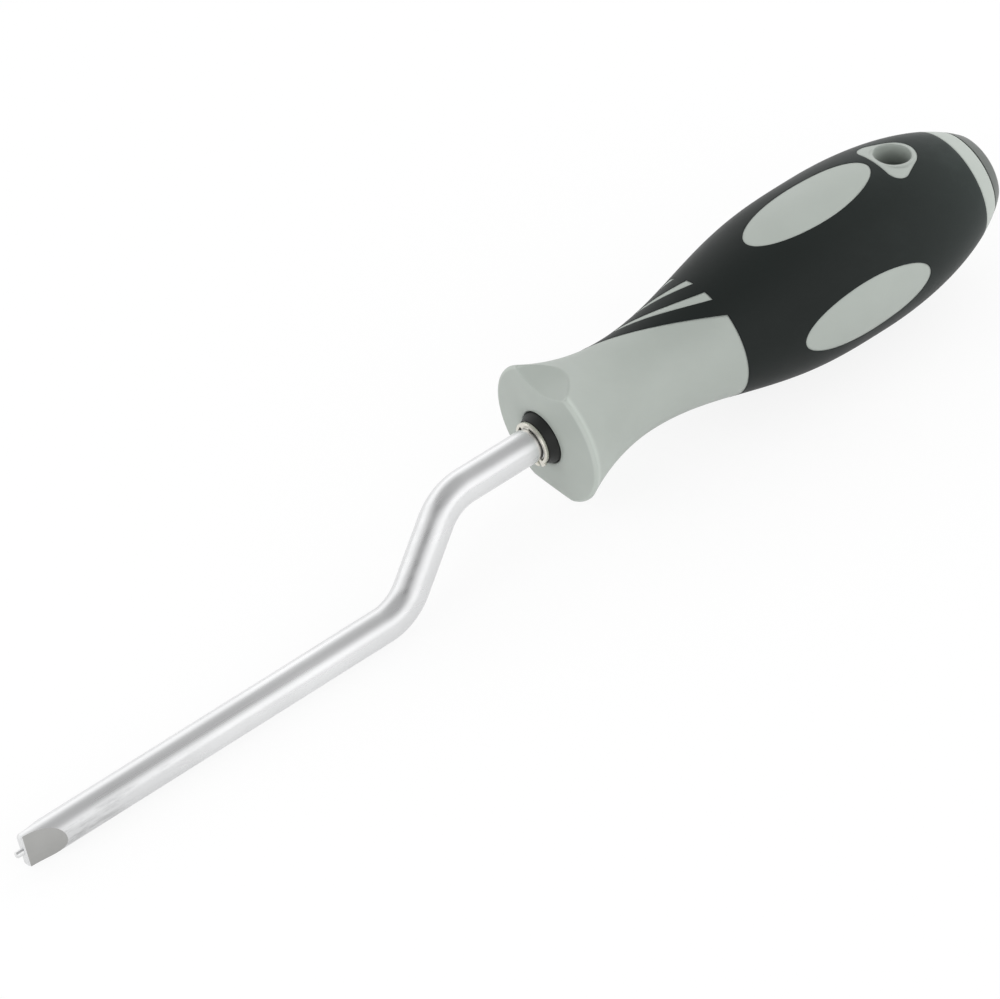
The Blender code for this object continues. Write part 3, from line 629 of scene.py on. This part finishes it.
def moulded_plastic(name, base, roughness, marks, depth=0.00003, rub_and_sheen=1.35, rub_and_sheen_from=None, patch=30.0, edge=0.0,
                    **sockets):
    """Moulded plastic or rubber: fine grain, soft mottle, rubbed patches and specks; on the core also a painted
    highlight on the edges at the mouth, painted shade inside the hang hole and a butt ring painted lighter as if
    lit; on the rubber the patches towards the butt are partly rubbed smears and partly painted sheen.
    """
    material, tree, shader = new_finish(name, roughness, **sockets)
    place = add_node(tree, "TexCoord")["Object"]
    grain = add_group(tree, "moulded_grain", place)
    worn = add_group(tree, "handling_marks", place, Patch_Scale=patch)
    patches = times(tree, worn["Patches"], marks)
    if rub_and_sheen_from is not None:
        # On the rubber the patches grow paler towards the butt: partly rubbed smears, partly painted sheen.
        rear = combine(tree, "POWER", along(tree, place, *rub_and_sheen_from), 3.0)
        patches = times(tree, spread(tree, patches, 0.0, 1.0, 0.35, 1.0), rear)
    tone = blend_colour(tree, grain["Mottle"], *(toned(base, share) for share in MOTTLE_TONES))
    tone = blend_colour(tree, patches, tone, toned(base, rub_and_sheen))
    speck_tone = tuple(0.7 * c + 0.3 * DUST_GREY for c in base)
    tone = blend_colour(tree, times(tree, worn["Specks"], marks), tone, speck_tone)
    under = None
    if edge:
        # Painted highlight: the rounded edges and the guard's ridge near the mouth are made paler, as if they catch
        # the light.
        under, rim = soft_edges(tree, edge)
        rim = combine(tree, "MAXIMUM", rim, guard_ridge_highlight(tree, place))
        at_mouth = spread(tree, along(tree, place, 2.2 * MM, 4 * MM), 0.0, 1.0, 1.0, 0.1)
        # Painted light: the hard ring behind the grip is made lighter, as if lit from the butt's side.
        butt_ring_painted_light = along(tree, place, grip_end() - 0.5 * MM, grip_end())
        # Painted shade also darkens the hang hole's wall inside.
        for mask, share in ((times(tree, rim, at_mouth), RIM_HIGHLIGHT_TONE),
                            (bore_painted_shade(tree, place), BORE_SHADE_TONE), (butt_ring_painted_light, BUTT_PAINTED_LIGHT_TONE)):
            tone = blend_colour(tree, mask, tone, toned(base, share))
    tree.links.new(tone, shader.inputs["Base Color"])
    rough = spread(tree, worn["Patches"], 0.0, 1.0, roughness, roughness - 0.09)
    tree.links.new(rough, shader.inputs["Roughness"])
    bump(tree, grain["Height"], 0.35, depth, shader, under)
    return material


def worn_side(tree, place):
    """A mask of the rod's side that rubs on the bench, below and towards the front."""
    way = Vector((0.0, -0.73, -0.69))
    middle, half = (AXIS + crank_offset()).dot(way), 0.6 * MM
    across = vector_math(tree, "DOT_PRODUCT", place, way)["Value"]
    return spread(tree, across, middle - half, middle + half)


def bright_metal(name, base, roughness, lines=0.10, ripple=0.0, worn=None):
    """Plated or ground metal with faint polishing lines and a soft cloud, dulled where it is worn."""
    material, tree, shader = new_finish(name, roughness, metallic=1.0)
    place = add_node(tree, "TexCoord")["Object"]
    drawn = add_group(tree, "drawn_lines", place)
    tone = blend_colour(tree, drawn["Cloud"], toned(base, 1.0 - lines), toned(base, 1.0 + lines / 2))
    rough = spread(tree, drawn["Lines"], 0.0, 1.0, roughness - 0.04, roughness + 0.06)
    height = drawn["Lines"]
    if ripple:
        height = combine(tree, "ADD", height, times(tree, drawn["Ripple"], ripple))
    if worn is not None:
        near_tip = combine(tree, "SUBTRACT", along(tree, place, *worn[:2]), along(tree, place, *worn[2:]))
        scuffed = times(tree, near_tip, worn_side(tree, place))
        dull = times(tree, spread(tree, drawn["Streaks"], 0.0, 1.0, 0.35, 1.0), scuffed)
        tone = blend_colour(tree, dull, tone, toned(base, SCUFF_TONE))
        rough = combine(tree, "ADD", rough, times(tree, dull, 0.12))
    tree.links.new(tone, shader.inputs["Base Color"])
    tree.links.new(rough, shader.inputs["Roughness"])
    bump(tree, height, 0.2, 0.000004, shader)
    return material


# Pieces

def grip_shell(start):
    """The grip's plain shell before its windows are cut."""
    g = bpy.context.scene.driver_grip
    places = stations(start, grip_end(), 120)
    outer = [(x, handle_radius(x) + g.proud) for x in reversed(places)]
    inner = [(x, handle_radius(x) - g.wall) for x in places]
    return lathe("grip_sleeve", outer + inner, sides=160)


def finger_notch():
    """Outline of the bare neck ahead of the grip, notched by the swept finger."""
    g = bpy.context.scene.driver_grip
    wide = 2 * bpy.context.scene.driver_handle.belly_radius
    tip = (g.front - g.finger_reach, g.finger_across)
    near = sweep((g.front, g.finger_near), (g.front - g.finger_bend, 0.0), tip, 28)
    far = [(tip[0], g.finger_across + g.finger_tip), (g.front, g.finger_far)]
    ahead = -3 * MM
    return near + far + [(g.front, wide), (ahead, wide), (ahead, -wide), (g.front, -wide)]


def stripe(width, base_y, bend, tip):
    """Outline of one tapering stripe between two fingers of the grip, in metres."""
    g = bpy.context.scene.driver_grip
    base = g.front - g.stripe_setback
    spine = sweep((base, base_y * MM), (base - bend[0] * MM, bend[1] * MM), (base - tip[0] * MM, tip[1] * MM), 14)
    near, far = [], []
    for i, (x, y) in enumerate(spine):
        share = i / (len(spine) - 1)
        half = width * MM * (1 - share + g.stripe_tip * share) / 2
        ahead, behind = spine[min(i + 1, len(spine) - 1)], spine[max(i - 1, 0)]
        run = math.hypot(ahead[0] - behind[0], ahead[1] - behind[1])
        side = (-(ahead[1] - behind[1]) / run * half, (ahead[0] - behind[0]) / run * half)
        if i == 0:
            side = (0.0, half * run / (ahead[0] - behind[0]))
        for line, way in ((near, 1), (far, -1)):
            point = (x + way * side[0], y + way * side[1])
            if i == 0 or point[0] < base - 0.1 * MM:
                line.append(point)
    return near + far[::-1]


def hang_pad():
    """Outline of the pad round the hang hole."""
    g = bpy.context.scene.driver_grip
    ring = g.hole_radius + g.pad_ring
    at = hang_hole_at()
    corner = (at - ring + g.pad_corner, g.pad_half_width - g.pad_corner)
    half = arc((at, 0.0), ring, math.radians(2.0), math.radians(60.0), 18)
    half += arc(corner, g.pad_corner, math.radians(62.0), math.pi, 14)
    return half + [(x, -y) for x, y in reversed(half)]


def oval_panel():
    """Outline of an oval panel."""
    g = bpy.context.scene.driver_grip
    start = g.front + g.panel_setback
    end = hang_hole_at() - g.hole_radius - g.pad_ring - g.panel_gap
    count = 72
    angles = [2 * math.pi * (i + 0.5) / count for i in range(count)]
    return [((start + end) / 2 + (end - start) / 2 * math.cos(a), g.panel_width / 2 * math.sin(a)) for a in angles]


def grip_windows(roll):
    """Cutters of everything that is left out of the grip on one side."""
    tall = 2 * bpy.context.scene.driver_handle.belly_radius
    low, overlap = 2.5 * MM, 0.2 * MM
    tools = [block("neck", finger_notch(), -overlap if roll == TOP else overlap, tall, roll)]
    tools.append(block("pad", hang_pad(), low, tall, roll))
    for shape in STRIPES_MM:
        tools.append(block("stripe", stripe(*shape), low, tall, roll))
    tools.append(block("panel", oval_panel(), low, tall, roll))
    return tools


def turned_core(context):
    """Turn the hard core and cut the guard's scallop and flat."""
    h = context.scene.driver_handle
    butt = h.end - h.cap_height
    socket_floor, socket_radius = butt - 7 * MM, 4.66 * MM
    seat_end, relief_radius, relief_end = 35 * MM, 5 * MM, 42 * MM
    outline = [(socket_floor, 0.0), (socket_floor, socket_radius), (butt, socket_radius)]
    outline += [(x, handle_radius(x)) for x in stations(butt - 0.05 * MM, h.rim_at, 150)]
    rim = arc((h.guard_radius - h.rim_round, h.rim_at), h.rim_round, 0.0, -QUARTER * 0.98, 8)
    outline += [(x, r) for r, x in rim[1:]]
    outline += [(0.35 * MM, 9.5 * MM), (0.1 * MM, 7.2 * MM), (0.0, h.bore_radius + 0.25 * MM),
                (0.12 * MM, h.bore_radius), (seat_end, h.bore_radius), (seat_end, relief_radius),
                (relief_end, relief_radius), (relief_end, 0.0)]
    core = lathe("handle_core", outline, sides=160, ring=False)
    scallop = guard_cutter(h.scallop_radius, h.scallop_floor, h.scallop_tilt, TOP)
    flat = guard_cutter(60 * MM, h.flat_floor, 0.0, BOTTOM)
    cut(core, [scallop, flat])
    return core


def guard_cutter(radius, floor, tilt, roll):
    """A long round bar laid across the guard's edge."""
    height = floor + radius / math.cos(tilt)
    bar = cylinder(360, radius, 2 * bpy.context.scene.driver_handle.waist_at,
                   AXIS + Vector((0.0, 0.0, height)), (0.0, QUARTER - tilt, 0.0))
    roll_piece(bar, roll)
    return bar


def join_hang_lips(context, core):
    """Join a flat lip round each end of the hang hole, square to the skin and just below the pad's crown."""
    g = context.scene.driver_grip
    at = hang_hole_at()
    lean = math.atan2(handle_radius(at - 0.5 * MM) - handle_radius(at + 0.5 * MM), MM)
    depth = 5 * MM
    out = Vector((math.sin(lean), 0.0, math.cos(lean)))
    middle = AXIS + Vector((at, 0.0, handle_radius(at))) + out * (-g.lip_drop - depth / 2)
    for roll in (TOP, BOTTOM):
        lip = cylinder(96, g.hole_radius + g.lip_width, depth, middle, (0.0, lean, 0.0))
        soften(lip, 0.35 * MM, segments=4)
        roll_piece(lip, roll, mirrored=roll == BOTTOM)
        cut(core, [lip], "UNION")


def drill_hang_hole(context, core):
    """Drill the hang hole with rounded edges on both sides."""
    g = context.scene.driver_grip
    at = MOUTH + hang_hole_at()
    skin = handle_radius(hang_hole_at()) * 0.85
    drill = cylinder(96, g.hole_radius, 4 * context.scene.driver_handle.belly_radius, (at, AXIS.y, AXIS.z))
    join_hang_lips(context, core)
    cut(core, [drill])

    def on_mouth(edge):
        ends = [core.data.vertices[i].co for i in edge.vertices]
        on_wall = all(abs(math.hypot(c.x - at, c.y - AXIS.y) - g.hole_radius) < 0.02 * MM for c in ends)
        on_skin = all(abs(c.z - AXIS.z) > skin for c in ends)
        return on_wall and on_skin and abs(ends[0].z - ends[1].z) < 1.2 * MM

    choose(core, "EDGE", on_mouth)
    bpy.ops.mesh.bevel(offset=g.hole_round, segments=4, affect="EDGES", clamp_overlap=True)
    bpy.ops.object.mode_set(mode="OBJECT")


class DRIVER_OT_grip(bpy.types.Operator):
    """Model the soft grip with its swept fingers and windows, and cut its seat in the core."""

    bl_idname = "spoke_driver.grip"
    bl_label = "Handle and grip"

    def execute(self, context):
        g = context.scene.driver_grip
        core = turned_core(context)
        sleeve = grip_shell(g.front - g.finger_reach - 2 * MM)
        tall = 2 * context.scene.driver_handle.belly_radius
        sides = [block("panel", oval_panel(), 5 * MM, tall, roll) for roll in SIDES]
        cut(sleeve, grip_windows(TOP) + sides)
        cut(sleeve, grip_windows(BOTTOM))
        cut(core, [sleeve], keep=True)
        drill_hang_hole(context, core)
        soften(sleeve, g.lip)
        finish = context.scene.driver_finish
        hard = moulded_plastic("grey_moulded_plastic", finish.hard, 0.46, marks=0.10, edge=0.8 * MM)
        # The rubber's paler patches towards the butt are partly rubbed smears and partly painted sheen.
        soft = moulded_plastic("black_soft_rubber", finish.soft, 0.58, marks=0.8, depth=0.00005, rub_and_sheen=4.6,
                               rub_and_sheen_from=(45 * MM, 100 * MM), patch=38.0,
                               Specular_IOR_Level=0.2, Sheen_Weight=0.1, Sheen_Roughness=0.3)
        for piece, material, node, slot in ((core, hard, "handle_core", "grey_plastic"),
                                            (sleeve, soft, "grip_sleeve", "black_rubber")):
            shade(piece)
            piece.name = "finished_" + node
            dress(piece, material, "handle", [node])
        return {"FINISHED"}


class DRIVER_OT_cap(bpy.types.Operator):
    """Model the charcoal cap in the end of the handle."""

    bl_idname = "spoke_driver.cap"
    bl_label = "Butt cap"

    def execute(self, context):
        h = context.scene.driver_handle
        start, rim = h.end - h.cap_height + 0.05 * MM, handle_radius(h.end)
        seam, deep = start + 0.24 * MM, handle_radius(start) - 0.7 * MM
        spigot, spigot_end, lead = 4.6 * MM, start - 6.8 * MM, 0.5 * MM
        outline = [(h.end, 0.0), (h.end, rim - 1.6 * MM), (h.end - 0.1 * MM, rim - 0.7 * MM),
                   (h.end - 0.32 * MM, rim + 0.05 * MM)]
        outline += [(x, handle_radius(x)) for x in stations(h.end - 0.7 * MM, start + 0.32 * MM, 14)]
        outline += [(seam, handle_radius(seam) - 0.08 * MM), (seam, deep), (start, deep), (start, spigot),
                    (spigot_end + lead, spigot), (spigot_end, spigot - lead), (spigot_end, 0.0)]
        cap = lathe("finished_butt_cap", outline, sides=128, ring=False)
        shade(cap)
        charcoal = moulded_plastic("charcoal_plastic", context.scene.driver_finish.cap, 0.42, marks=0.3)
        dress(cap, charcoal, "handle", ["butt_cap"])
        return {"FINISHED"}


def mark_ground(context, rod):
    """Give the hollow faces of the blade the ground finish."""
    r = context.scene.driver_rod
    angle = r.blade_turn - crank_roll()
    across = Vector((0.0, math.cos(angle), math.sin(angle)))
    middle = AXIS + crank_offset()
    for face in rod.data.polygons:
        from_tip = face.center.x - (MOUTH - r.reach)
        height = abs((face.center - middle).dot(across)) - r.blade_thickness / 2
        hollow = r.grind_radius - math.sqrt(max(0.0, r.grind_radius ** 2 - from_tip ** 2))
        leans = abs(face.normal.dot(across)) > 0.6
        if 0.0 < from_tip < r.grind_radius * 0.8 and abs(height - hollow) < 0.06 * MM and leans:
            face.material_index = 1


def extruded_bar(context):
    """Extrude a circle from the tail to the blade's end."""
    def push(distance):
        extrude((-distance, 0.0, 0.0))

    r = context.scene.driver_rod
    bend = r.bend_radius * math.tan(r.bend_angle / 2)
    run = r.crank_offset / math.tan(r.bend_angle)
    lead, hair, groove_room = 0.4 * MM, 0.001 * MM, 0.55 * MM
    begin()
    bpy.ops.mesh.primitive_circle_add(vertices=72, radius=r.radius - lead, fill_type="NGON",
                                      location=AXIS + Vector((r.tail, 0.0, 0.0)), rotation=(0.0, QUARTER, 0.0))
    rod = settled()
    edit("FACE")
    push(lead)
    widen(r.radius / (r.radius - lead), AXIS)
    groove_start = -(r.collar_proud - 0.02 * MM)
    push(r.tail - groove_start)
    narrow = (r.radius - r.groove_depth) / r.radius
    push(hair)
    widen(narrow, AXIS)
    push(r.ring_thickness + groove_room)
    push(hair)
    widen(1 / narrow, AXIS)
    groove_end = groove_start - r.ring_thickness - groove_room - 2 * hair
    push(groove_end + r.crank_at - bend)
    turn_bar(r.bend_angle, Vector((MOUTH - r.crank_at + bend, AXIS.y, AXIS.z - r.bend_radius)), 1)
    slant = math.hypot(r.crank_offset, run) - 2 * bend
    extrude(Vector((-math.cos(r.bend_angle), 0.0, -math.sin(r.bend_angle))) * slant)
    end = Vector((MOUTH - r.crank_at - run - bend, AXIS.y, AXIS.z - r.crank_offset + r.bend_radius))
    turn_bar(r.bend_angle, end, -1)
    push(r.reach - r.crank_at - run - bend - r.blade_chamfer - r.grind_radius)
    push(r.grind_radius)
    push(r.blade_chamfer)
    widen((r.radius - r.blade_chamfer) / r.radius, AXIS - Vector((0.0, 0.0, r.crank_offset)))
    tidy()
    return rod


def turn_bar(angle, centre, side):
    """Spin the selected end face round a bend."""
    bpy.ops.mesh.spin(steps=20, angle=angle, center=centre, axis=(0.0, side, 0.0))


def grind(context, rod):
    """Hollow the two faces of the blade with a round wheel."""
    r = context.scene.driver_rod
    end = AXIS + Vector((-r.reach, 0.0, -r.crank_offset))
    across = Vector((0.0, math.cos(r.blade_turn), math.sin(r.blade_turn)))
    for side in (1, -1):
        hub = end + across * side * (r.grind_radius + r.blade_thickness / 2)
        cut(rod, [cylinder(256, r.grind_radius, 6 * r.radius, hub, (r.blade_turn, 0.0, 0.0))])


def join_pin(context, rod):
    """Join the pilot pin to the blade."""
    r = context.scene.driver_rod
    root = 1.0 * MM
    middle = AXIS + Vector((-r.reach - r.pin_length / 2 + root / 2, 0.0, -r.crank_offset))
    pin = cylinder(32, r.pin_radius, r.pin_length + root, middle, (0.0, QUARTER, 0.0))
    soften(pin, 0.18 * MM, segments=3)
    cut(rod, [pin], "UNION")


class DRIVER_OT_rod(bpy.types.Operator):
    """Model the cranked rod: extruded bar, two spun bends, ground blade and pilot pin."""

    bl_idname = "spoke_driver.rod"
    bl_label = "Cranked rod"

    def execute(self, context):
        finish = context.scene.driver_finish
        rod = extruded_bar(context)
        grind(context, rod)
        join_pin(context, rod)
        roll_piece(rod, -crank_roll())
        shade(rod, 28.0)
        rod.name = "finished_crank_rod"
        scuffed = (-127.4 * MM, -126.6 * MM, -122 * MM, -84 * MM)
        chrome = bright_metal("satin_chrome", finish.chrome, 0.29, lines=0.06, ripple=8.0, worn=scuffed)
        dress(rod, chrome, "shaft", ["crank_rod"])
        rod.data.materials.append(bright_metal("ground_steel", finish.blade, 0.42, lines=0.14))
        mark_ground(context, rod)
        return {"FINISHED"}


def near_gap(ring, side, radius, half_width):
    """Choose the ring's outer faces beside its gap, or its inner faces there and opposite."""
    def fits(face):
        out = Vector((0.0, face.center.y - AXIS.y, face.center.z - AXIS.z))
        on_skin = side * out.length > side * radius and side * face.normal.dot(out.normalized()) > 0.9
        return on_skin and abs(out.y) < half_width and (out.z < 0 or side < 0)

    choose(ring, "FACE", fits)


def lugs(ring, r):
    """Pull a lug outwards at each end of the ring."""
    near_gap(ring, 1, r.ring_radius * 0.98, 1.75 * MM)
    extrude((0.0, 0.0, -0.45 * MM))
    bpy.ops.object.mode_set(mode="OBJECT")


def prongs(ring, r, inner):
    """Push three short prongs inwards to the groove's floor."""
    near_gap(ring, -1, inner * 1.02, 1.5 * MM)
    extrude((0.0, 0.0, 0.0))
    widen((r.radius - r.groove_depth + 0.05 * MM) / inner, AXIS)
    bpy.ops.object.mode_set(mode="OBJECT")


class DRIVER_OT_ring(bpy.types.Operator):
    """Model the open retaining ring in front of the collar."""

    bl_idname = "spoke_driver.ring"
    bl_label = "Retaining ring"

    def execute(self, context):
        r = context.scene.driver_rod
        back = -r.collar_proud - 0.05 * MM
        front = back - r.ring_thickness
        inner = r.radius + 0.33 * MM
        half_gap = math.asin(0.5 * MM / r.ring_radius)
        outline = [(back, r.ring_radius), (front, r.ring_radius), (front, inner), (back, inner)]
        ring = draw_face([(MOUTH + x, AXIS.y, AXIS.z - v) for x, v in outline])
        bpy.ops.transform.rotate(value=half_gap, orient_axis="X", center_override=AXIS)
        bpy.ops.mesh.spin(steps=90, angle=2 * math.pi - 2 * half_gap, center=AXIS, axis=(1.0, 0.0, 0.0))
        tidy()
        lugs(ring, r)
        prongs(ring, r, inner)
        soften(ring, 0.1 * MM, angle=40.0)
        roll_piece(ring, -crank_roll())
        shade(ring)
        ring.name = "finished_retaining_ring"
        nickel = bright_metal("nickel_spring_steel", context.scene.driver_finish.spring, 0.24)
        dress(ring, nickel, "shaft", ["front_retaining_ring"])
        return {"FINISHED"}


class DRIVER_OT_collar(bpy.types.Operator):
    """Model the black dust collar in the mouth."""

    bl_idname = "spoke_driver.collar"
    bl_label = "Dust collar"

    def execute(self, context):
        r = context.scene.driver_rod
        hub, rear, step = 4.1 * MM, 1.15 * MM, 0.3 * MM
        bore, nose = r.radius + 0.06 * MM, -r.collar_proud
        outline = [(rear, hub), (rear - step, hub), (rear - step, r.collar_radius), (0.12 * MM, r.collar_radius),
                   (-0.1 * MM, r.collar_radius - 0.06 * MM), (nose + 0.25 * MM, r.collar_nose + 0.08 * MM),
                   (nose + 0.06 * MM, r.collar_nose - 0.02 * MM), (nose, r.collar_nose - 0.2 * MM),
                   (nose, bore), (rear, bore)]
        collar = lathe("finished_dust_collar", outline, sides=96)
        shade(collar)
        black = moulded_plastic("black_turned_plastic", context.scene.driver_finish.collar, 0.45, marks=0.1,
                                Specular_IOR_Level=0.25)
        dress(collar, black, "shaft", ["dust_collar"])
        return {"FINISHED"}


def bearing_rings(context, steel):
    """Turn the bearings' rings with round ball grooves and chamfered corners."""
    b = context.scene.driver_bearing
    pitch = (b.outer_land + b.inner_land) / 2
    names = []
    for label in ("front", "rear"):
        low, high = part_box(label + "_outer_ring")
        start, end = low.x - MOUTH, high.x - MOUTH
        for kind, land, rim, side, body in (("outer", b.outer_land, b.outer_radius, 1, "handle"),
                                            ("inner", b.inner_land, b.bore, -1, "shaft")):
            half = math.acos(abs(land - pitch) / b.groove_radius)
            section = arc((0.0, (start + end) / 2), b.groove_radius, -half, half, 17)
            groove = [(x, pitch + side * r) for r, x in section]
            edge = rim - side * b.chamfer
            outline = [(start, land), *groove, (end, land), (end, edge), (end - b.chamfer, rim),
                       (start + b.chamfer, rim), (start, edge)]
            name = f"{label}_{kind}_ring"
            ring = lathe("finished_" + name, outline, sides=96)
            shade(ring)
            dress(ring, steel, body, [name])
            names.append(name)
    return names


class DRIVER_OT_bearings(bpy.types.Operator):
    """Finish the bearings, spacers and rear ring inside the handle."""

    bl_idname = "spoke_driver.bearings"
    bl_label = "Bearings and spacers"

    def execute(self, context):
        finish = context.scene.driver_finish
        steel = bright_metal("bearing_steel", finish.steel, 0.28)
        finishes = (("ball_", bright_metal("polished_ball", finish.ball, 0.1, lines=0.04)),
                    ("cage", moulded_plastic("cage_plastic", finish.cage, 0.5, marks=0.1)),
                    ("seal", moulded_plastic("seal_rubber", finish.seal, 0.6, marks=0.2)))
        dressed = ["handle_core", "grip_sleeve", "butt_cap", "crank_rod", "front_retaining_ring", "dust_collar"]
        dressed += bearing_rings(context, steel)
        for name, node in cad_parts.items():
            if name in dressed:
                continue
            material = next((m for word, m in finishes if word in name), steel)
            node.data.materials.clear()
            node.data.materials.append(material)
        return {"FINISHED"}


def lay_floor(context):
    """A round floor that curves up into a low backdrop, and looks pale where it is seen or mirrored."""
    radius, rise, steps, below = 2.6, 0.12, 6, 0.0002
    seen_glow, mirrored_glow = 0.86, 0.55
    begin()
    bpy.ops.mesh.primitive_circle_add(vertices=96, radius=radius, fill_type="NGON",
                                      location=(0.0, 0.0, CAD_BOX[0][2] - below))
    floor = settled()
    edit("EDGE")
    for step in range(steps):
        angle = QUARTER / steps * (step + 0.5)
        out, up = rise * math.cos(angle), rise * math.sin(angle)
        bpy.ops.mesh.extrude_edges_move(TRANSFORM_OT_translate={"value": (0.0, 0.0, up)})
        share = 1.0 + out / (radius + rise * step)
        bpy.ops.transform.resize(value=(share, share, 1.0), center_override=(0.0, 0.0, 0.0))
    tidy()
    bpy.ops.object.shade_smooth()
    floor.name = "floor"
    material, tree, shader = new_finish("pale_floor", 0.9, Base_Color=(*context.scene.driver_studio.floor, 1.0))
    path = add_node(tree, "LightPath")
    seen = combine(tree, "MAXIMUM", path["Is Camera Ray"], path["Is Transmission Ray"])
    seen = times(tree, seen, seen_glow)
    mirrored = times(tree, path["Is Glossy Ray"], mirrored_glow)
    glow = add_node(tree, "Emission")["Emission"]
    share = combine(tree, "MAXIMUM", seen, mirrored)
    mix = add_node(tree, "MixShader", {0: share, 1: shader.outputs[0], 2: glow})
    tree.links.new(mix[0], tree.nodes["Material Output"].inputs["Surface"])
    floor.data.materials.append(material)


def hang_lamps(context):
    """A light tent with bright walls and a dimmer roof, and three softboxes kept out of reflections."""
    s = context.scene.driver_studio
    world = bpy.data.worlds.new("studio")
    context.scene.world = world
    world.use_nodes = True
    tree = world.node_tree
    back = tree.nodes["Background"]
    back.inputs["Color"].default_value = (1.0, 1.0, 1.0, 1.0)
    gaze = add_node(tree, "TexCoord")["Generated"]
    way = add_node(tree, "SeparateXYZ", {0: gaze})
    lean = times(tree, combine(tree, "MINIMUM", way["X"], 0.0), s.roof_lean)
    walls = spread(tree, combine(tree, "ADD", way["Z"], lean), 0.53, 0.86, s.horizon, s.zenith)
    towards_slot = vector_math(tree, "DOT_PRODUCT", gaze, (-0.46, -0.24, 0.855))["Value"]
    slot = spread(tree, towards_slot, 0.93, 0.985, 1.0, s.slot)
    tip_end = spread(tree, way["X"], -0.72, -0.58, s.tip_wall, 1.0)
    light = times(tree, times(tree, walls, slot), tip_end)
    tree.links.new(light, back.inputs["Strength"])
    for name, place, size, power in (("tip_side", (-0.8, 0.0, 0.6), (0.8, 0.5), 2.6),
                                     ("butt_side", (0.9, 0.15, 0.45), (0.8, 0.5), 2.8),
                                     ("camera_side", (0.42, -0.88, 0.2), (1.4, 0.5), 1.5)):
        bpy.ops.object.light_add(type="AREA", location=place)
        lamp = bpy.context.object
        lamp.name = name
        lamp.data.shape = "RECTANGLE"
        lamp.data.size, lamp.data.size_y = size
        lamp.data.energy = power
        lamp.rotation_euler = (-Vector(place)).to_track_quat("-Z", "Y").to_euler()
        lamp.visible_camera = False
        lamp.visible_glossy = False


def set_camera(context):
    """Camera at the photograph's angle, with the tool's slope and lean read from its picture."""
    s = context.scene.driver_studio
    sideways = Vector((0.0, -math.cos(s.roll), math.sin(s.roll)))
    outwards = Vector((0.0, math.sin(s.roll), math.cos(s.roll)))
    backwards = Vector((1.0, 0.0, 0.0))
    lean, slope = s.foreshortening, s.slope
    right = (backwards * math.cos(lean) * math.cos(slope) + sideways * math.sin(slope)
             + outwards * math.sin(lean) * math.cos(slope))
    up = (backwards * math.cos(lean) * math.sin(slope) - sideways * math.cos(slope)
          + outwards * math.sin(lean) * math.sin(slope))
    back = -backwards * math.sin(lean) + outwards * math.cos(lean)
    guard = AXIS + Vector((0.9 * MM, 0.0, 0.0))
    place = guard - right * s.shift_right - up * s.shift_up + back * s.distance
    data = bpy.data.cameras.new("photo_camera")
    data.lens = s.lens
    data.sensor_width = 36.0
    data.sensor_fit = "HORIZONTAL"
    camera = bpy.data.objects.new("photo_camera", data)
    context.scene.collection.objects.link(camera)
    turn = Matrix((right, up, back)).transposed().to_4x4()
    camera.matrix_world = Matrix.Translation(place) @ turn
    context.scene.camera = camera


class DRIVER_OT_stage(bpy.types.Operator):
    """Set the pale floor, the soft lamps and the photograph's camera."""

    bl_idname = "spoke_driver.stage"
    bl_label = "Studio"

    def execute(self, context):
        lay_floor(context)
        hang_lamps(context)
        set_camera(context)
        context.scene.view_settings.view_transform = "Standard"
        return {"FINISHED"}


STEPS = (DRIVER_OT_grip, DRIVER_OT_cap, DRIVER_OT_rod, DRIVER_OT_ring, DRIVER_OT_collar, DRIVER_OT_bearings,
         DRIVER_OT_stage)


class DRIVER_PT_panel(bpy.types.Panel):
    """Lists the steps and their settings."""

    bl_label = "Spoke nipple driver"
    bl_idname = "DRIVER_PT_panel"
    bl_space_type = "VIEW_3D"
    bl_region_type = "UI"
    bl_category = "Driver"

    def draw(self, context):
        for step in STEPS:
            self.layout.operator(step.bl_idname)
        for name, group in SETTINGS:
            box = self.layout.box()
            for key in group.__annotations__:
                box.prop(getattr(context.scene, name), key)


def register():
    for name, group in SETTINGS:
        bpy.utils.register_class(group)
        setattr(bpy.types.Scene, name, bpy.props.PointerProperty(type=group))
    for step in STEPS:
        bpy.utils.register_class(step)
    bpy.utils.register_class(DRIVER_PT_panel)


def unregister():
    bpy.utils.unregister_class(DRIVER_PT_panel)
    for step in reversed(STEPS):
        bpy.utils.unregister_class(step)
    for name, group in reversed(SETTINGS):
        delattr(bpy.types.Scene, name)
        bpy.utils.unregister_class(group)


def main():
    register()
    bpy.ops.spoke_driver.grip()
    bpy.ops.spoke_driver.cap()
    bpy.ops.spoke_driver.rod()
    bpy.ops.spoke_driver.ring()
    bpy.ops.spoke_driver.collar()
    bpy.ops.spoke_driver.bearings()
    bpy.ops.spoke_driver.stage()


if __name__ == "__main__":
    main()
